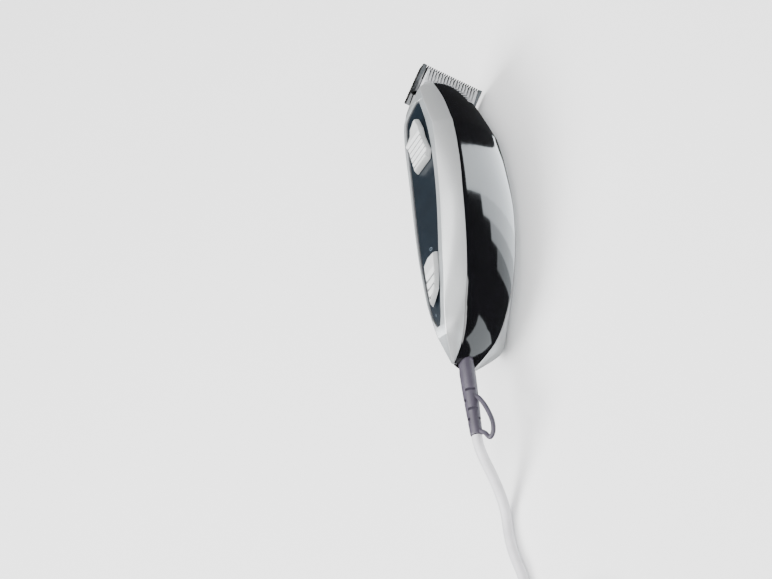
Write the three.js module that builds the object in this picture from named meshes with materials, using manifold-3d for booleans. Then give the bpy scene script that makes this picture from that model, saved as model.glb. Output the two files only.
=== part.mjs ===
// Mains hair clipper lying on its right side, with its cord folded in a tied hank behind the tail.
// Millimetres. +X runs from the tail to the blade, -Y is the back of the hand grip, +Z is the left side.
import * as THREE from 'three';
import { mergeVertices } from 'three/addons/utils/BufferGeometryUtils.js';
import Module from 'manifold-3d';

const wasm = await Module();
wasm.setup();

// ---- driving dimensions ----
const HALF_WIDTH = 25;          // centre plane to the flat of each side frame
const CENTRE_X = 58.65;         // middle of the object's box, from the tail of the housing
const CENTRE_W = 14.6;          // middle of the object's box, from the belly line
const WALL = 2.2;
const GAP = 0.3;                // between pieces that touch
const PANEL_SINK = 0.9;         // side panel below the rim round it
const PANEL_THICK = 1.4;
const CROWN = 3.8;              // bulge of the back cover
const BELLY_CROWN = 3.0;
const FRONT_ANGLE = 48.6 * Math.PI / 180;
const BLADE_ANGLE = 44 * Math.PI / 180;
const BLADE_TIP = { u: 165, w: 18.9 };
const BLADE_WIDTH = 44;
const BLADE_DEPTH = 23;
const BLADE_THICK = 1.7;
const TEETH = 28;
const TOOTH_LENGTH = 8;
const CUTTER_WIDTH = 37;
const CUTTER_TEETH = 17;
const CUTTER_THICK = 1.6;
const CORD_D = 5.4;
const RELIEF = { root: 12, end: -42, w: 0.5, bore: 4.3 };   // strain relief and the hole it sits in
// The spare cord's hank: middle, straight run, fold radius outside and inside, height and clearance under it.
const HANK = { u: -195.2, w: 15, run: 52.5, outer: 24.6, inner: 13.2, high: 21.6, low: 1.1, fold: 21.6 };

// ---- colours ----
const look = (color, roughness, metalness = 0) =>
  new THREE.MeshStandardMaterial({ color, roughness, metalness });
const BLACK = look(0x0c0c10, 0.15);
const SILVER = look(0xc4c8ca, 0.35, 0.6);
const NAVY = look(0x141c26, 0.3);
const STEEL = look(0xb8bcc0, 0.25, 1);
const RUBBER = look(0x3a3842, 0.6);
const CORD = look(0xb9babd, 0.5);
const NYLON = look(0xd8d6cc, 0.5);
const COPPER = look(0xb06a35, 0.35, 1);
const IRON = look(0x5a5d62, 0.5, 0.9);
const BLUE_LEAD = look(0x2a5fb0, 0.5);
const BROWN_LEAD = look(0x6a3d22, 0.5);

// ---- group placement: u along the body, w towards the back, s towards the left side ----
const clipper = new THREE.Group();
clipper.position.set(-CENTRE_X, CENTRE_W, HALF_WIDTH);
const group = new THREE.Group();
group.add(clipper);

function addMesh(name, geometry, material, parent = clipper) {
  const mesh = new THREE.Mesh(geometry, material);
  mesh.name = name;
  parent.add(mesh);
  return mesh;
}

// ---- solids and booleans ----
function bare(geometry) {
  const copy = geometry.clone();
  copy.deleteAttribute('normal');
  copy.deleteAttribute('uv');
  return mergeVertices(copy, 1e-4);
}

function solid(geometry) {
  const merged = bare(geometry);
  return new wasm.Manifold(new wasm.Mesh({
    numProp: 3,
    vertProperties: new Float32Array(merged.attributes.position.array),
    triVerts: new Uint32Array(merged.index.array),
  }));
}

function geometryOf(manifold) {
  const mesh = manifold.getMesh();
  const geometry = new THREE.BufferGeometry();
  geometry.setAttribute('position', new THREE.BufferAttribute(new Float32Array(mesh.vertProperties), 3));
  geometry.setIndex(new THREE.BufferAttribute(new Uint32Array(mesh.triVerts), 1));
  geometry.computeVertexNormals();
  return geometry;
}

const cut = (body, ...tools) =>
  geometryOf(tools.reduce((left, tool) => left.subtract(solid(tool)), solid(body)));
const join = (first, ...others) =>
  geometryOf(others.reduce((sum, piece) => sum.add(solid(piece)), solid(first)));

// ---- shape helpers ----
// A smooth curve w(u) through a few points, level with its neighbours' slope at each.
function through(points) {
  const last = points.length - 1;
  const slope = points.map((p, i) => {
    const before = points[Math.max(i - 1, 0)];
    const after = points[Math.min(i + 1, last)];
    return (after[1] - before[1]) / (after[0] - before[0]);
  });
  return (u) => {
    const at = Math.min(Math.max(u, points[0][0]), points[last][0]);
    let i = 0;
    while (i < last - 1 && at > points[i + 1][0]) i += 1;
    const [u0, w0] = points[i];
    const [u1, w1] = points[i + 1];
    const h = u1 - u0;
    const t = (at - u0) / h;
    return w0 * (1 + 2 * t) * (1 - t) ** 2 + slope[i] * h * t * (1 - t) ** 2
      + w1 * t * t * (3 - 2 * t) + slope[i + 1] * h * t * t * (t - 1);
  };
}

// A closed body through rings of [w, s] points, one ring at each u.
function loft(stations, ring) {
  const rings = stations.map((u) => ring(u).map(([w, s, shift = 0]) => [u + shift, -w, s]));
  const count = rings[0].length;
  const vertices = rings.flat();
  const triangles = [];
  for (let i = 0; i < rings.length - 1; i += 1) {
    for (let j = 0; j < count; j += 1) {
      const a = i * count + j;
      const b = i * count + (j + 1) % count;
      triangles.push([a, b, b + count], [a, b + count, a + count]);
    }
  }
  // each end is closed by a strip between the ring's outgoing and returning halves
  for (const first of [0, (rings.length - 1) * count]) {
    for (let j = 0; j < count / 2 - 1; j += 1) {
      const [a, b, c, d] = [j, j + 1, count - 2 - j, count - 1 - j].map((k) => k + first);
      triangles.push([a, b, c], [a, c, d]);
    }
  }
  return closedBody(vertices, triangles);
}

function closedBody(vertices, triangles) {
  // make the caps and walls agree edge by edge, then turn the body right side out
  const edges = new Map();
  triangles.forEach((t, k) => t.forEach((a, i) => {
    const b = t[(i + 1) % 3];
    const key = a < b ? `${a}_${b}` : `${b}_${a}`;
    edges.set(key, [...(edges.get(key) ?? []), [k, a < b]]);
  }));
  const turned = new Array(triangles.length).fill(null);
  turned[0] = false;
  const queue = [0];
  while (queue.length) {
    const k = queue.pop();
    const t = triangles[k];
    t.forEach((a, i) => {
      const b = t[(i + 1) % 3];
      const key = a < b ? `${a}_${b}` : `${b}_${a}`;
      edges.get(key).forEach(([other, forward]) => {
        if (other === k || turned[other] !== null) return;
        turned[other] = ((a < b) !== turned[k]) === forward;
        queue.push(other);
      });
    });
  }
  let wound = triangles.map((t, k) => (turned[k] ? [t[0], t[2], t[1]] : t));
  const volume = wound.reduce((sum, [a, b, c]) => {
    const [p, q, r] = [a, b, c].map((k) => new THREE.Vector3(...vertices[k]));
    return sum + p.dot(q.cross(r));
  }, 0);
  if (volume < 0) wound = wound.map(([a, b, c]) => [a, c, b]);
  const geometry = new THREE.BufferGeometry();
  geometry.setAttribute('position', new THREE.Float32BufferAttribute(vertices.flat(), 3));
  geometry.setIndex(wound.flat());
  geometry.computeVertexNormals();
  return geometry;
}

// A plate with its outline in (u, w), from s = low to s = high.
function sidePlate(outline, low, high) {
  const shape = new THREE.Shape(outline.map(([u, w]) => new THREE.Vector2(u, -w)));
  return new THREE.ExtrudeGeometry(shape, { depth: high - low, bevelEnabled: false }).translate(0, 0, low);
}

// A plate with its outline in (u, s), from w = low to w = high.
function levelPlate(outline, low, high) {
  const shape = new THREE.Shape(outline.map(([u, s]) => new THREE.Vector2(u, s)));
  return new THREE.ExtrudeGeometry(shape, { depth: high - low, bevelEnabled: false })
    .rotateX(Math.PI / 2).translate(0, -low, 0);
}

const box = (u0, u1, w0, w1, s0, s1) => new THREE.BoxGeometry(u1 - u0, w1 - w0, s1 - s0)
  .translate((u0 + u1) / 2, -(w0 + w1) / 2, (s0 + s1) / 2);
const rodAlongW = (u, s, r, low, high, sides = 16) => new THREE.CylinderGeometry(r, r, high - low, sides)
  .translate(u, -(low + high) / 2, s);
const rodAlongU = (w, s, r, low, high, sides = 16) => new THREE.CylinderGeometry(r, r, high - low, sides)
  .rotateZ(Math.PI / 2).translate((low + high) / 2, -w, s);

// ---- outer form of the housing, as curves along u ----
const STATIONS = [-1, 2, 6, 11, 18, 28, 42, 60, 80, 100, 115, 128, 138, 146, 154, 166];
const backEdge = through([[-1, -1.2], [4.2, 6.3], [10.9, 12.4], [22.4, 18.2], [38, 24], [62, 28.8],
  [89, 31.2], [111, 30.8], [128, 28.8], [144, 23.3], [158, 17], [166, 13]]);
const backHalf = through([[-1, 7], [4.2, 9.2], [10.9, 12], [22.4, 14.7], [48, 17.6], [80, 19], [103, 18],
  [128, 16.5], [144, 14.4], [158, 14], [166, 13.8]]);
const bellyEdge = through([[-1, -2.4], [15, -2], [80, -2.6], [139, -1.8], [166, -1.6]]);
const bellyHalf = through([[-1, 6.5], [10.9, 12], [30, 16], [80, 19], [120, 18.5], [145, 17], [166, 16]]);
const rimBack = through([[-1, -1.5], [5.6, 5.0], [10.5, 8.2], [18.9, 10.6], [39.8, 15.2], [66.8, 18.9],
  [87.6, 21], [113, 22.2], [130.8, 20.6], [147.2, 15.2], [166, 9.5]]);
const rimBelly = through([[-1, -2.1], [9, 1.2], [27, 0.4], [65, 0.3], [104, 1.4], [134, 1.8], [142, 5.5],
  [150, 11.5], [166, 8.5]]);
const sideReach = through([[-1, 8], [4, 15], [9, 20.3], [20, 22.9], [45, 24.7], [60, 25.1], [100, 25.1],
  [115, 24.7], [140, 22.6], [150, 21], [166, 17.5]]);
const sideHalf = (u) => Math.min(HALF_WIDTH, sideReach(u));
const crown = through([[-1, 1.2], [11, 2.8], [35, CROWN], [110, CROWN], [158, 2.6], [166, 2.2]]);
const bellyCrown = through([[-1, 1.6], [8, BELLY_CROWN], [130, BELLY_CROWN], [166, 1.5]]);
const middleOf = (u) => (backEdge(u) + bellyEdge(u)) / 2;
const PART_LINE = 0.65;         // held back each side of the line where two housing pieces meet
const SIDE_WALL = 4.4;          // wall of a side frame under its panel
const ARC_STEPS = 6;
const LEAST_SHARE = 0.4;        // an inner wall keeps this much of the outer one's distance from the middle
const BEVEL_RISE = { w: 0.4, s: 0.5 };   // how far the bevel stands out of a straight line from back to rim

function inward(u, [w, s], wall) {
  const middle = middleOf(u);
  const reach = Math.hypot(w - middle, s);
  const keep = Math.max(LEAST_SHARE, 1 - wall / reach);
  return [middle + (w - middle) * keep, s * keep];
}

// A cover bowed across the housing: outwards is +1 on the back and -1 on the belly.
function bowedCover(edge, half, bow, outwards) {
  return loft(STATIONS, (u) => {
    const reach = half(u) - PART_LINE;
    const outer = [];
    for (let k = 0; k <= ARC_STEPS; k += 1) {
      const s = reach * (1 - 2 * k / ARC_STEPS);
      outer.push([edge(u) + outwards * bow(u) * (1 - (s / half(u)) ** 2), s]);
    }
    return [...outer, ...outer.map((point) => inward(u, point, WALL)).reverse()];
  });
}

function sideFrame(side) {
  return loft(STATIONS, (u) => {
    const back = [backEdge(u), side * backHalf(u)];
    const rim = [rimBack(u), side * sideHalf(u)];
    const bevel = [(back[0] + rim[0]) / 2 + BEVEL_RISE.w, (back[1] + rim[1]) / 2 + side * BEVEL_RISE.s];
    const low = [rimBelly(u), side * sideHalf(u)];
    const belly = [bellyEdge(u), side * bellyHalf(u)];
    const outer = [back, bevel, rim, low, belly];
    const walls = [WALL, WALL, SIDE_WALL, SIDE_WALL, WALL];
    return [...outer, ...outer.map((point, k) => inward(u, point, walls[k])).reverse()];
  });
}

// ---- side panels, sunk in the side frames ----
const PANEL_STATIONS = [12.4, 15, 20, 28, 40, 55, 70, 85, 100, 115, 128, 135, 139, 142, 144.8];
const panelBack = through([[11.9, 4.4], [16.1, 6.4], [22.5, 8.2], [38.3, 11.3], [67, 15.6], [91, 18],
  [112.7, 18.4],
  [129.4, 16.3], [145.4, 12.2]]);
const panelBelly = through([[11.9, 3.6], [18.6, 1.6], [27, 1.3], [65, 1.3], [103.6, 2.8], [130, 3.2],
  [136, 4.0],
  [141.9, 8.3], [145.4, 11.6]]);

function panelBody(side, grow, low, high) {
  return loft(PANEL_STATIONS, (u) => {
    const top = sideHalf(u) + high;
    const bottom = sideHalf(u) + low;
    const back = panelBack(u) + grow;
    const belly = panelBelly(u) - grow;
    const end = u === PANEL_STATIONS[0] ? -grow : 0;
    const shift = u === PANEL_STATIONS[PANEL_STATIONS.length - 1] ? grow : end;
    return [[back, side * bottom, shift], [back, side * top, shift], [belly, side * top, shift],
      [belly, side * bottom, shift]];
  });
}

// ---- openings cut through the housing ----
const FRONT_FOOT = { u: 142, w: -1.6 };  // where the sloping front meets the belly
const frontU = (w) => FRONT_FOOT.u + (w - FRONT_FOOT.w) / Math.tan(FRONT_ANGLE);
const COVER_SETBACK = 3.2;      // the back cover ends this far behind the side frames' front edge
const CLEAR = { belly: -12, back: 45, ahead: 230, beside: 40 };   // well outside the housing
const frontWaste = (setback) => sidePlate([[frontU(CLEAR.belly) - setback, CLEAR.belly],
  [frontU(CLEAR.back) - setback, CLEAR.back], [CLEAR.ahead, CLEAR.back], [CLEAR.ahead, CLEAR.belly]],
-CLEAR.beside, CLEAR.beside);
const RELIEF_BORE = rodAlongU(RELIEF.w, 0, RELIEF.bore, -8, RELIEF.root + 1);
const TAPER_NECK = { u0: 112, u1: 120, w0: 9.6, w1: 12.8, travel: -6 };
const POWER_NECK = { u0: 36, u1: 44, w0: 6.6, w1: 9.6, travel: 4.5 };
const bladeAxes = [
  new THREE.Vector3(0, 0, 1),
  new THREE.Vector3(Math.cos(BLADE_ANGLE), -Math.sin(BLADE_ANGLE), 0),
  new THREE.Vector3(Math.sin(BLADE_ANGLE), Math.cos(BLADE_ANGLE), 0),
];
const bladePlace = new THREE.Matrix4().makeBasis(...bladeAxes).setPosition(BLADE_TIP.u, -BLADE_TIP.w, 0);
const SWEEP = { side: 2.2, length: 20, height: 10, y: -7, z: 0.9 };   // room for the cutter's strokes
const CUTTER_SWEEP = new THREE.BoxGeometry(CUTTER_WIDTH + 2 * SWEEP.side, SWEEP.length, SWEEP.height)
  .translate(0, SWEEP.y, SWEEP.z).applyMatrix4(bladePlace);
const SLOT = { low: 14, high: 27 };      // a control's slot runs through the frame and panel
const slotOf = ({ u0, u1, w0, w1, travel }) => box(u0 + Math.min(0, travel) - GAP,
  u1 + Math.max(0, travel) + GAP, w0 - GAP, w1 + GAP, SLOT.low, SLOT.high);

const HOUSING_SCREWS = [[24, -8], [24, 8], [132, -10], [132, 10]];
const SCREW_R = 1.5;
const HEAD = { r: 2.9, low: -3.7, high: -2.7, seat: 3.3, seatTop: -2.4 };
const PILLAR = { r: 3.2, low: 0.6, high: 13, bore: 9.6, screwEnd: 9 };
const screwHoles = HOUSING_SCREWS.map(([u, s]) => rodAlongW(u, s, SCREW_R + GAP, -8, 6));
const screwSeats = HOUSING_SCREWS.map(([u, s]) => rodAlongW(u, s, HEAD.seat, -9, HEAD.seatTop));

addMesh('rear_cover', cut(bowedCover(backEdge, backHalf, crown, 1), frontWaste(COVER_SETBACK),
  RELIEF_BORE), BLACK);
addMesh('belly_housing', cut(bowedCover(bellyEdge, bellyHalf, bellyCrown, -1), frontWaste(0), RELIEF_BORE,
  ...screwHoles, ...screwSeats), BLACK);
const pocketDepth = -(PANEL_SINK + PANEL_THICK + GAP);
const slots = [slotOf(TAPER_NECK), slotOf(POWER_NECK)];
[['left', 1], ['right', -1]].forEach(([name, side]) => {
  const ports = side > 0 ? slots : [];
  addMesh(`${name}_side_frame`, cut(sideFrame(side), frontWaste(0), CUTTER_SWEEP, RELIEF_BORE,
    panelBody(side, GAP, pocketDepth, 6), ...ports), SILVER);
  const panel = panelBody(side, 0, -(PANEL_SINK + PANEL_THICK), -PANEL_SINK);
  addMesh(`${name}_panel`, side > 0 ? cut(panel, ...slots) : panel, NAVY);
});

// ---- housing screws and the pillars that they run into ----
HOUSING_SCREWS.forEach(([u, s], k) => {
  const head = rodAlongW(u, s, HEAD.r, HEAD.low, HEAD.high, 12);
  const shank = rodAlongW(u, s, SCREW_R, HEAD.high - 0.2, PILLAR.screwEnd, 12);
  addMesh(`housing_screw_${k + 1}`, join(head, shank), STEEL);
  const bore = rodAlongW(u, s, SCREW_R + GAP, 0, PILLAR.bore, 12);
  addMesh(`screw_pillar_${k + 1}`, cut(rodAlongW(u, s, PILLAR.r, PILLAR.low, PILLAR.high, 12), bore), NYLON);
});

// ---- sliding controls on the left side ----
const CAP_EDGE = { rise: 0.7, inset: 0.6 };     // rounded edge of a control's cap
function slider(outline, neck, { bottom, top, neckEnd }) {
  const shape = new THREE.Shape(outline.map(([u, w]) => new THREE.Vector2(u, -w)));
  const cap = new THREE.ExtrudeGeometry(shape, { depth: top - bottom - 2 * CAP_EDGE.rise,
    bevelThickness: CAP_EDGE.rise, bevelSize: CAP_EDGE.inset, bevelOffset: -CAP_EDGE.inset, bevelSegments: 1 })
    .translate(0, 0, bottom + CAP_EDGE.rise);
  return join(cap, box(neck.u0, neck.u1, neck.w0, neck.w1, neckEnd, bottom + 1));
}
const TAPER_CAP = { bottom: 24.4, top: 28, neckEnd: 17 };
const TAPER_OUTLINE = [[131.5, 13.4], [125.3, 15.5], [119.8, 16], [110, 18.7], [105.6, 17.2], [100.7, 7.7],
  [115.3, 5.3], [117.7, 3.8], [122.3, 7.9], [126.1, 8.5], [130.1, 11.4]];
const POWER_CAP = { bottom: 24.3, top: 27.4, neckEnd: 17.6 };
const POWER_OUTLINE = [[51.4, 13], [44, 12.4], [37.1, 11.4], [31.1, 10.3], [27.3, 8.1], [22.6, 4.9],
  [33, 4.4], [45.5, 4.3], [49.5, 7.6]];
addMesh('taper_slider', slider(TAPER_OUTLINE, TAPER_NECK, TAPER_CAP), SILVER);
addMesh('power_slider', slider(POWER_OUTLINE, POWER_NECK, POWER_CAP), SILVER);
const CAM_OUTLINE = [[106, 9], [126, 9], [145, 9.6], [145, 12.4], [126, 13.4], [106, 13.4]];
addMesh('taper_cam', sidePlate(CAM_OUTLINE, 15.4, 16.7), STEEL);
const forkPlate = box(35, 45, 5, 11.4, 16.1, 17.3);
addMesh('switch_fork', join(forkPlate, box(38.4, 41.6, 6, 10, 13.6, 16.6)), NYLON);
const switchWell = box(37, 48, 5.4, 10.6, 12, 15);
addMesh('switch_body', cut(box(28, 52, 3.2, 12.4, 5, 14.6), switchWell), BLACK);

// ---- blade set: x across the clipper, y towards the tips, z out of the skin side ----
const bladeSet = new THREE.Group();
bladeSet.applyMatrix4(bladePlace);
clipper.add(bladeSet);

// A comb: a plate with square-ended tapering teeth along its front edge. Tooth widths are shares of the pitch.
const TOOTH = { root: 0.3, tip: 0.18 };
function comb(width, depth, tipAt, toothLength, count, thick) {
  const half = width / 2;
  const root = tipAt - toothLength;
  const pitch = width / count;
  const points = [[-half, -depth], [half, -depth], [half, root]];
  for (let k = 0; k < count; k += 1) {
    const middle = half - pitch * (k + 0.5);
    points.push([middle + pitch * TOOTH.root, root], [middle + pitch * TOOTH.tip, tipAt]);
    points.push([middle - pitch * TOOTH.tip, tipAt], [middle - pitch * TOOTH.root, root]);
  }
  points.push([-half, root]);
  const shape = new THREE.Shape(points.map(([x, y]) => new THREE.Vector2(x, y)));
  return new THREE.ExtrudeGeometry(shape, { depth: thick, bevelEnabled: false });
}
const block = (x, y0, y1, z0, z1, x0 = -x) => new THREE.BoxGeometry(x - x0, y1 - y0, z1 - z0)
  .translate((x + x0) / 2, (y0 + y1) / 2, (z0 + z1) / 2);
// A cone about an axis through the blade set, from radius low at z0 to radius high at z1.
const bladeCone = (x, y, low, high, z0, z1) => new THREE.CylinderGeometry(high, low, z1 - z0, 16)
  .rotateX(Math.PI / 2).translate(x, y, (z0 + z1) / 2);
const bladeRod = (x, y, r, z0, z1, sides = 12) => new THREE.CylinderGeometry(r, r, z1 - z0, sides)
  .rotateX(Math.PI / 2).translate(x, y, (z0 + z1) / 2);

const BLADE_SCREWS = [[-12, -18.6], [12, -18.6]];
const CUTTER_FACE = -BLADE_THICK - GAP;           // front of the cutter, and of the mount behind the blade
const CUTTER_BACK = CUTTER_FACE - CUTTER_THICK;
const CUTTER = { depth: 14.6, tip: -1.4, tooth: 6.2 };
const GUIDE = { half: 7.4, back: -14.6, front: -7.8, thick: 2.6 };
const POCKET = { half: 2.6, back: -14, front: -8.6 };      // where the drive finger's pin enters the guide
const CARRIAGE = { x0: 11, x1: 13.2, front: -10.8 };
const SPRING_STRIP = { x0: 4.2, front: -13.5, low: 3.3, high: 2.9 };
const MOUNT = { half: 15.2, back: -23, front: -16.2, low: -7.5 };
const countersinks = BLADE_SCREWS.map(([x, y]) => bladeCone(x, y, 1.8, 3.7, -BLADE_THICK - 0.1, 0.1));
addMesh('fixed_blade', cut(comb(BLADE_WIDTH, BLADE_DEPTH, 0, TOOTH_LENGTH, TEETH, BLADE_THICK)
  .translate(0, 0, -BLADE_THICK), ...countersinks), STEEL, bladeSet);
addMesh('cutter', comb(CUTTER_WIDTH, CUTTER.depth, CUTTER.tip, CUTTER.tooth, CUTTER_TEETH, CUTTER_THICK)
  .translate(0, 0, CUTTER_BACK), STEEL, bladeSet);
const pocket = block(POCKET.half, POCKET.back, POCKET.front, CUTTER_BACK - 4, CUTTER_BACK + 2);
addMesh('cutter_guide', cut(block(GUIDE.half, GUIDE.back, GUIDE.front, CUTTER_BACK - GUIDE.thick,
  CUTTER_BACK - GAP), pocket), NYLON, bladeSet);
BLADE_SCREWS.forEach(([x, y], k) => {
  const head = bladeCone(x, y, 1.2, 3.2, -BLADE_THICK - 0.2, -0.1);
  addMesh(`blade_screw_${k + 1}`, join(head, bladeRod(x, y, SCREW_R, -7, -0.6)), STEEL, bladeSet);
});
const mountHoles = BLADE_SCREWS.map(([x, y]) => bladeRod(x, y, SCREW_R + GAP, MOUNT.low + 0.1, 1));
addMesh('blade_mount', cut(block(MOUNT.half, MOUNT.back, MOUNT.front, MOUNT.low, CUTTER_FACE), ...mountHoles),
  BLACK, bladeSet);
addMesh('tension_spring', block(CARRIAGE.x1, GUIDE.back, SPRING_STRIP.front, CUTTER_BACK - SPRING_STRIP.low,
  CUTTER_BACK - SPRING_STRIP.high, SPRING_STRIP.x0), STEEL, bladeSet);
addMesh('cutter_carriage', block(CARRIAGE.x1, GUIDE.back, CARRIAGE.front, CUTTER_BACK - GUIDE.thick,
  CUTTER_BACK - GAP, CARRIAGE.x0), NYLON, bladeSet);

// ---- vibrating motor ----
const CORE = { u0: 56, u1: 104, leg: 8, w0: 6, w1: 20, back: -14.5, yoke: -9, face: 3 };
const ARMATURE_GAP = 2.5;
addMesh('stator_core', levelPlate([[CORE.u0, CORE.back], [CORE.u1, CORE.back], [CORE.u1, CORE.face],
  [CORE.u1 - CORE.leg, CORE.face], [CORE.u1 - CORE.leg, CORE.yoke], [CORE.u0 + CORE.leg, CORE.yoke],
  [CORE.u0 + CORE.leg, CORE.face], [CORE.u0, CORE.face]], CORE.w0, CORE.w1), IRON);
const sleeve = (u0, u1, grow, reach) => cut(
  box(u0, u1, CORE.w0 - reach, CORE.w1 + reach, CORE.back - reach, CORE.yoke + reach),
  box(u0 - 1, u1 + 1, CORE.w0 - grow, CORE.w1 + grow, CORE.back - grow, CORE.yoke + grow));
const bobbinEnds = [CORE.u0 + CORE.leg + GAP, CORE.u1 - CORE.leg - GAP];
const BOBBIN = { flange: 1.2, flangeReach: 4.6, tubeReach: 1.2 };
const WINDING = { bore: 1.5, reach: 4.3 };
const firstFlange = sleeve(bobbinEnds[0], bobbinEnds[0] + BOBBIN.flange, GAP, BOBBIN.flangeReach);
const lastFlange = sleeve(bobbinEnds[1] - BOBBIN.flange, bobbinEnds[1], GAP, BOBBIN.flangeReach);
addMesh('coil_bobbin', join(firstFlange, sleeve(bobbinEnds[0], bobbinEnds[1], GAP, BOBBIN.tubeReach),
  lastFlange), NYLON);
addMesh('coil_winding', sleeve(bobbinEnds[0] + BOBBIN.flange + GAP, bobbinEnds[1] - BOBBIN.flange - GAP,
  WINDING.bore, WINDING.reach), COPPER);
const ARMATURE_THICK = 5;
const ARM_IN = CORE.face + ARMATURE_GAP;
addMesh('armature', box(CORE.u0, CORE.u1, CORE.w0, CORE.w1, ARM_IN, ARM_IN + ARMATURE_THICK), IRON);
const PIVOT = { u: 42, s: 12.3, r: 3.6, bore: 1.65, pin: 1.5 };
const ARM_W = [15, 18.6];
const ARM_THICK = 2.8;
const armOuter = ARM_IN + ARMATURE_THICK + GAP;
const arm = levelPlate([[PIVOT.u, armOuter], [108, armOuter], [126, -2.2], [144.6, -2.2], [144.6, 2.2],
  [128, 2.2], [112, armOuter + ARM_THICK], [PIVOT.u, armOuter + ARM_THICK]], ...ARM_W);
addMesh('vibrating_arm', cut(join(arm, rodAlongW(PIVOT.u, PIVOT.s, PIVOT.r, ...ARM_W)),
  rodAlongW(PIVOT.u, PIVOT.s, PIVOT.bore, 0, 30)), IRON);
const fingerBar = box(144.9, 150.4, 14.6, 17.4, -1.8, 1.8).applyMatrix4(bladePlace.clone().invert());
addMesh('drive_finger', join(bladeRod(0, -11.9, 1.7, -9, CUTTER_BACK - 0.6), fingerBar), STEEL, bladeSet);
addMesh('arm_pin', rodAlongW(PIVOT.u, PIVOT.s, PIVOT.pin, 13, 21, 12), STEEL);
const bracketBack = box(34.4, 37, 13, 20.6, 7, 15.2);
const bracketArms = [box(36, 47, 13, 14.7, 7, 15.2), box(36, 47, 18.9, 20.6, 7, 15.2)];
addMesh('pivot_bracket', cut(join(...bracketArms, bracketBack),
  rodAlongW(PIVOT.u, PIVOT.s, PIVOT.pin + GAP, 0, 30)), IRON);

// A round section of a given number of sides, and a tube of it along [u, w, s] points.
const roundSection = (radius, sides) => new THREE.Shape(
  new THREE.Path().absarc(0, 0, radius, 0, 2 * Math.PI).getSpacedPoints(sides).slice(0, sides));
function tube(route, radius, sides, steps) {
  const points = route.map(([u, w, s]) => new THREE.Vector3(u, -w, s));
  const path = new THREE.CatmullRomCurve3(points, false, 'centripetal');
  return new THREE.ExtrudeGeometry(roundSection(radius, sides), { steps, extrudePath: path });
}

function spring(radius, wire, low, high, turns, u, w) {
  const points = [];
  const perTurn = 8;
  const steps = turns * perTurn;
  for (let k = 0; k <= steps; k += 1) {
    const angle = 2 * Math.PI * k / perTurn;
    const rise = low + wire + (high - low - 2 * wire) * k / steps;
    points.push(new THREE.Vector3(u + radius * Math.cos(angle), -w + radius * Math.sin(angle), rise));
  }
  const path = new THREE.CatmullRomCurve3(points);
  return new THREE.ExtrudeGeometry(roundSection(wire, 5), { steps, extrudePath: path });
}
const ARM_FACE = armOuter + ARM_THICK;
const SPRING = { r: 1.8, wire: 0.4, w: 16.8 };
addMesh('spring_outer', spring(SPRING.r, SPRING.wire, ARM_FACE + GAP, 19.2, 3, 54, SPRING.w), STEEL);
addMesh('spring_inner', spring(SPRING.r, SPRING.wire, 4.4, armOuter - GAP, 4, 51, SPRING.w), STEEL);
addMesh('spring_post', box(47.6, 54.6, 12, 20, 1, 4.1), NYLON);

// ---- wiring inside ----
addMesh('terminal_block', box(17, 25, 4.2, 9.4, -4.6, 4.6), NYLON);
const LEAD = { r: 0.9, sides: 6, steps: 14 };
const COIL_LEAD = [[25.7, 6.4, -3], [34, 7, -7], [46, 9, -9.5], [53, 11, -10], [55.2, 13, -10]];
const SWITCH_LEAD = [[25.7, 8, 3], [27, 8.6, 3.1], [27.6, 12.4, 3.9], [30, 14, 6.5], [33, 13.8, 8.6]];
addMesh('lead_to_coil', tube(COIL_LEAD, LEAD.r, LEAD.sides, LEAD.steps), BLUE_LEAD);
addMesh('lead_to_switch', tube(SWITCH_LEAD, LEAD.r, LEAD.sides, LEAD.steps), BROWN_LEAD);
const clampBore = rodAlongU(3, 0, 3, 10, 20, 10);
addMesh('cord_clamp', cut(box(14, 16.6, 2.2, 10.4, -6, 6), clampBore), NYLON);

// ---- strain relief with its hanging loop ----
const RIBS = { count: 7, start: 16, solid: 0.55, fall: 0.68, rise: 0.9, deep: 0.8 };   // shares of the pitch
const RELIEF_R = { root: 3.9, ribs: 4.1, narrowing: 0.6 };
function reliefProfile() {
  const length = RELIEF.root - RELIEF.end;
  const pitch = (length - RIBS.start) / RIBS.count;
  const radiusAt = (y) => RELIEF_R.ribs - RELIEF_R.narrowing * (y - RIBS.start) / (length - RIBS.start);
  const profile = [[0, 0], [RELIEF_R.root - 0.3, 0], [RELIEF_R.root, 0.6], [RELIEF_R.root, RIBS.start - 1.5]];
  for (let k = 0; k < RIBS.count; k += 1) {
    const y = RIBS.start + k * pitch;
    const groove = radiusAt(y) - RIBS.deep;
    profile.push([radiusAt(y), y], [radiusAt(y), y + pitch * RIBS.solid]);
    if (k < RIBS.count - 1) profile.push([groove, y + pitch * RIBS.fall], [groove, y + pitch * RIBS.rise]);
  }
  profile.push([3.3, length - 0.6], [3.0, length], [0, length]);
  return profile.map(([r, y]) => new THREE.Vector2(r, y));
}
const reliefBody = new THREE.LatheGeometry(reliefProfile(), 12).rotateZ(Math.PI / 2)
  .translate(RELIEF.root, -RELIEF.w, 0);
const LOOP_R = 1.25;
const LOOP_ROUTE = [[-20, 1.5, 0], [-21.5, 4.6, 0], [-27, 8.0, 0], [-35, 11, 0], [-41, 12.1, 0],
  [-45.5, 11.2, 0], [-47.1, 9.1, 0], [-43.2, 6.1, 0], [-39.5, 2, 0]];
addMesh('strain_relief', join(reliefBody, tube(LOOP_ROUTE, LOOP_R, LEAD.sides, 22)), RUBBER);

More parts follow.
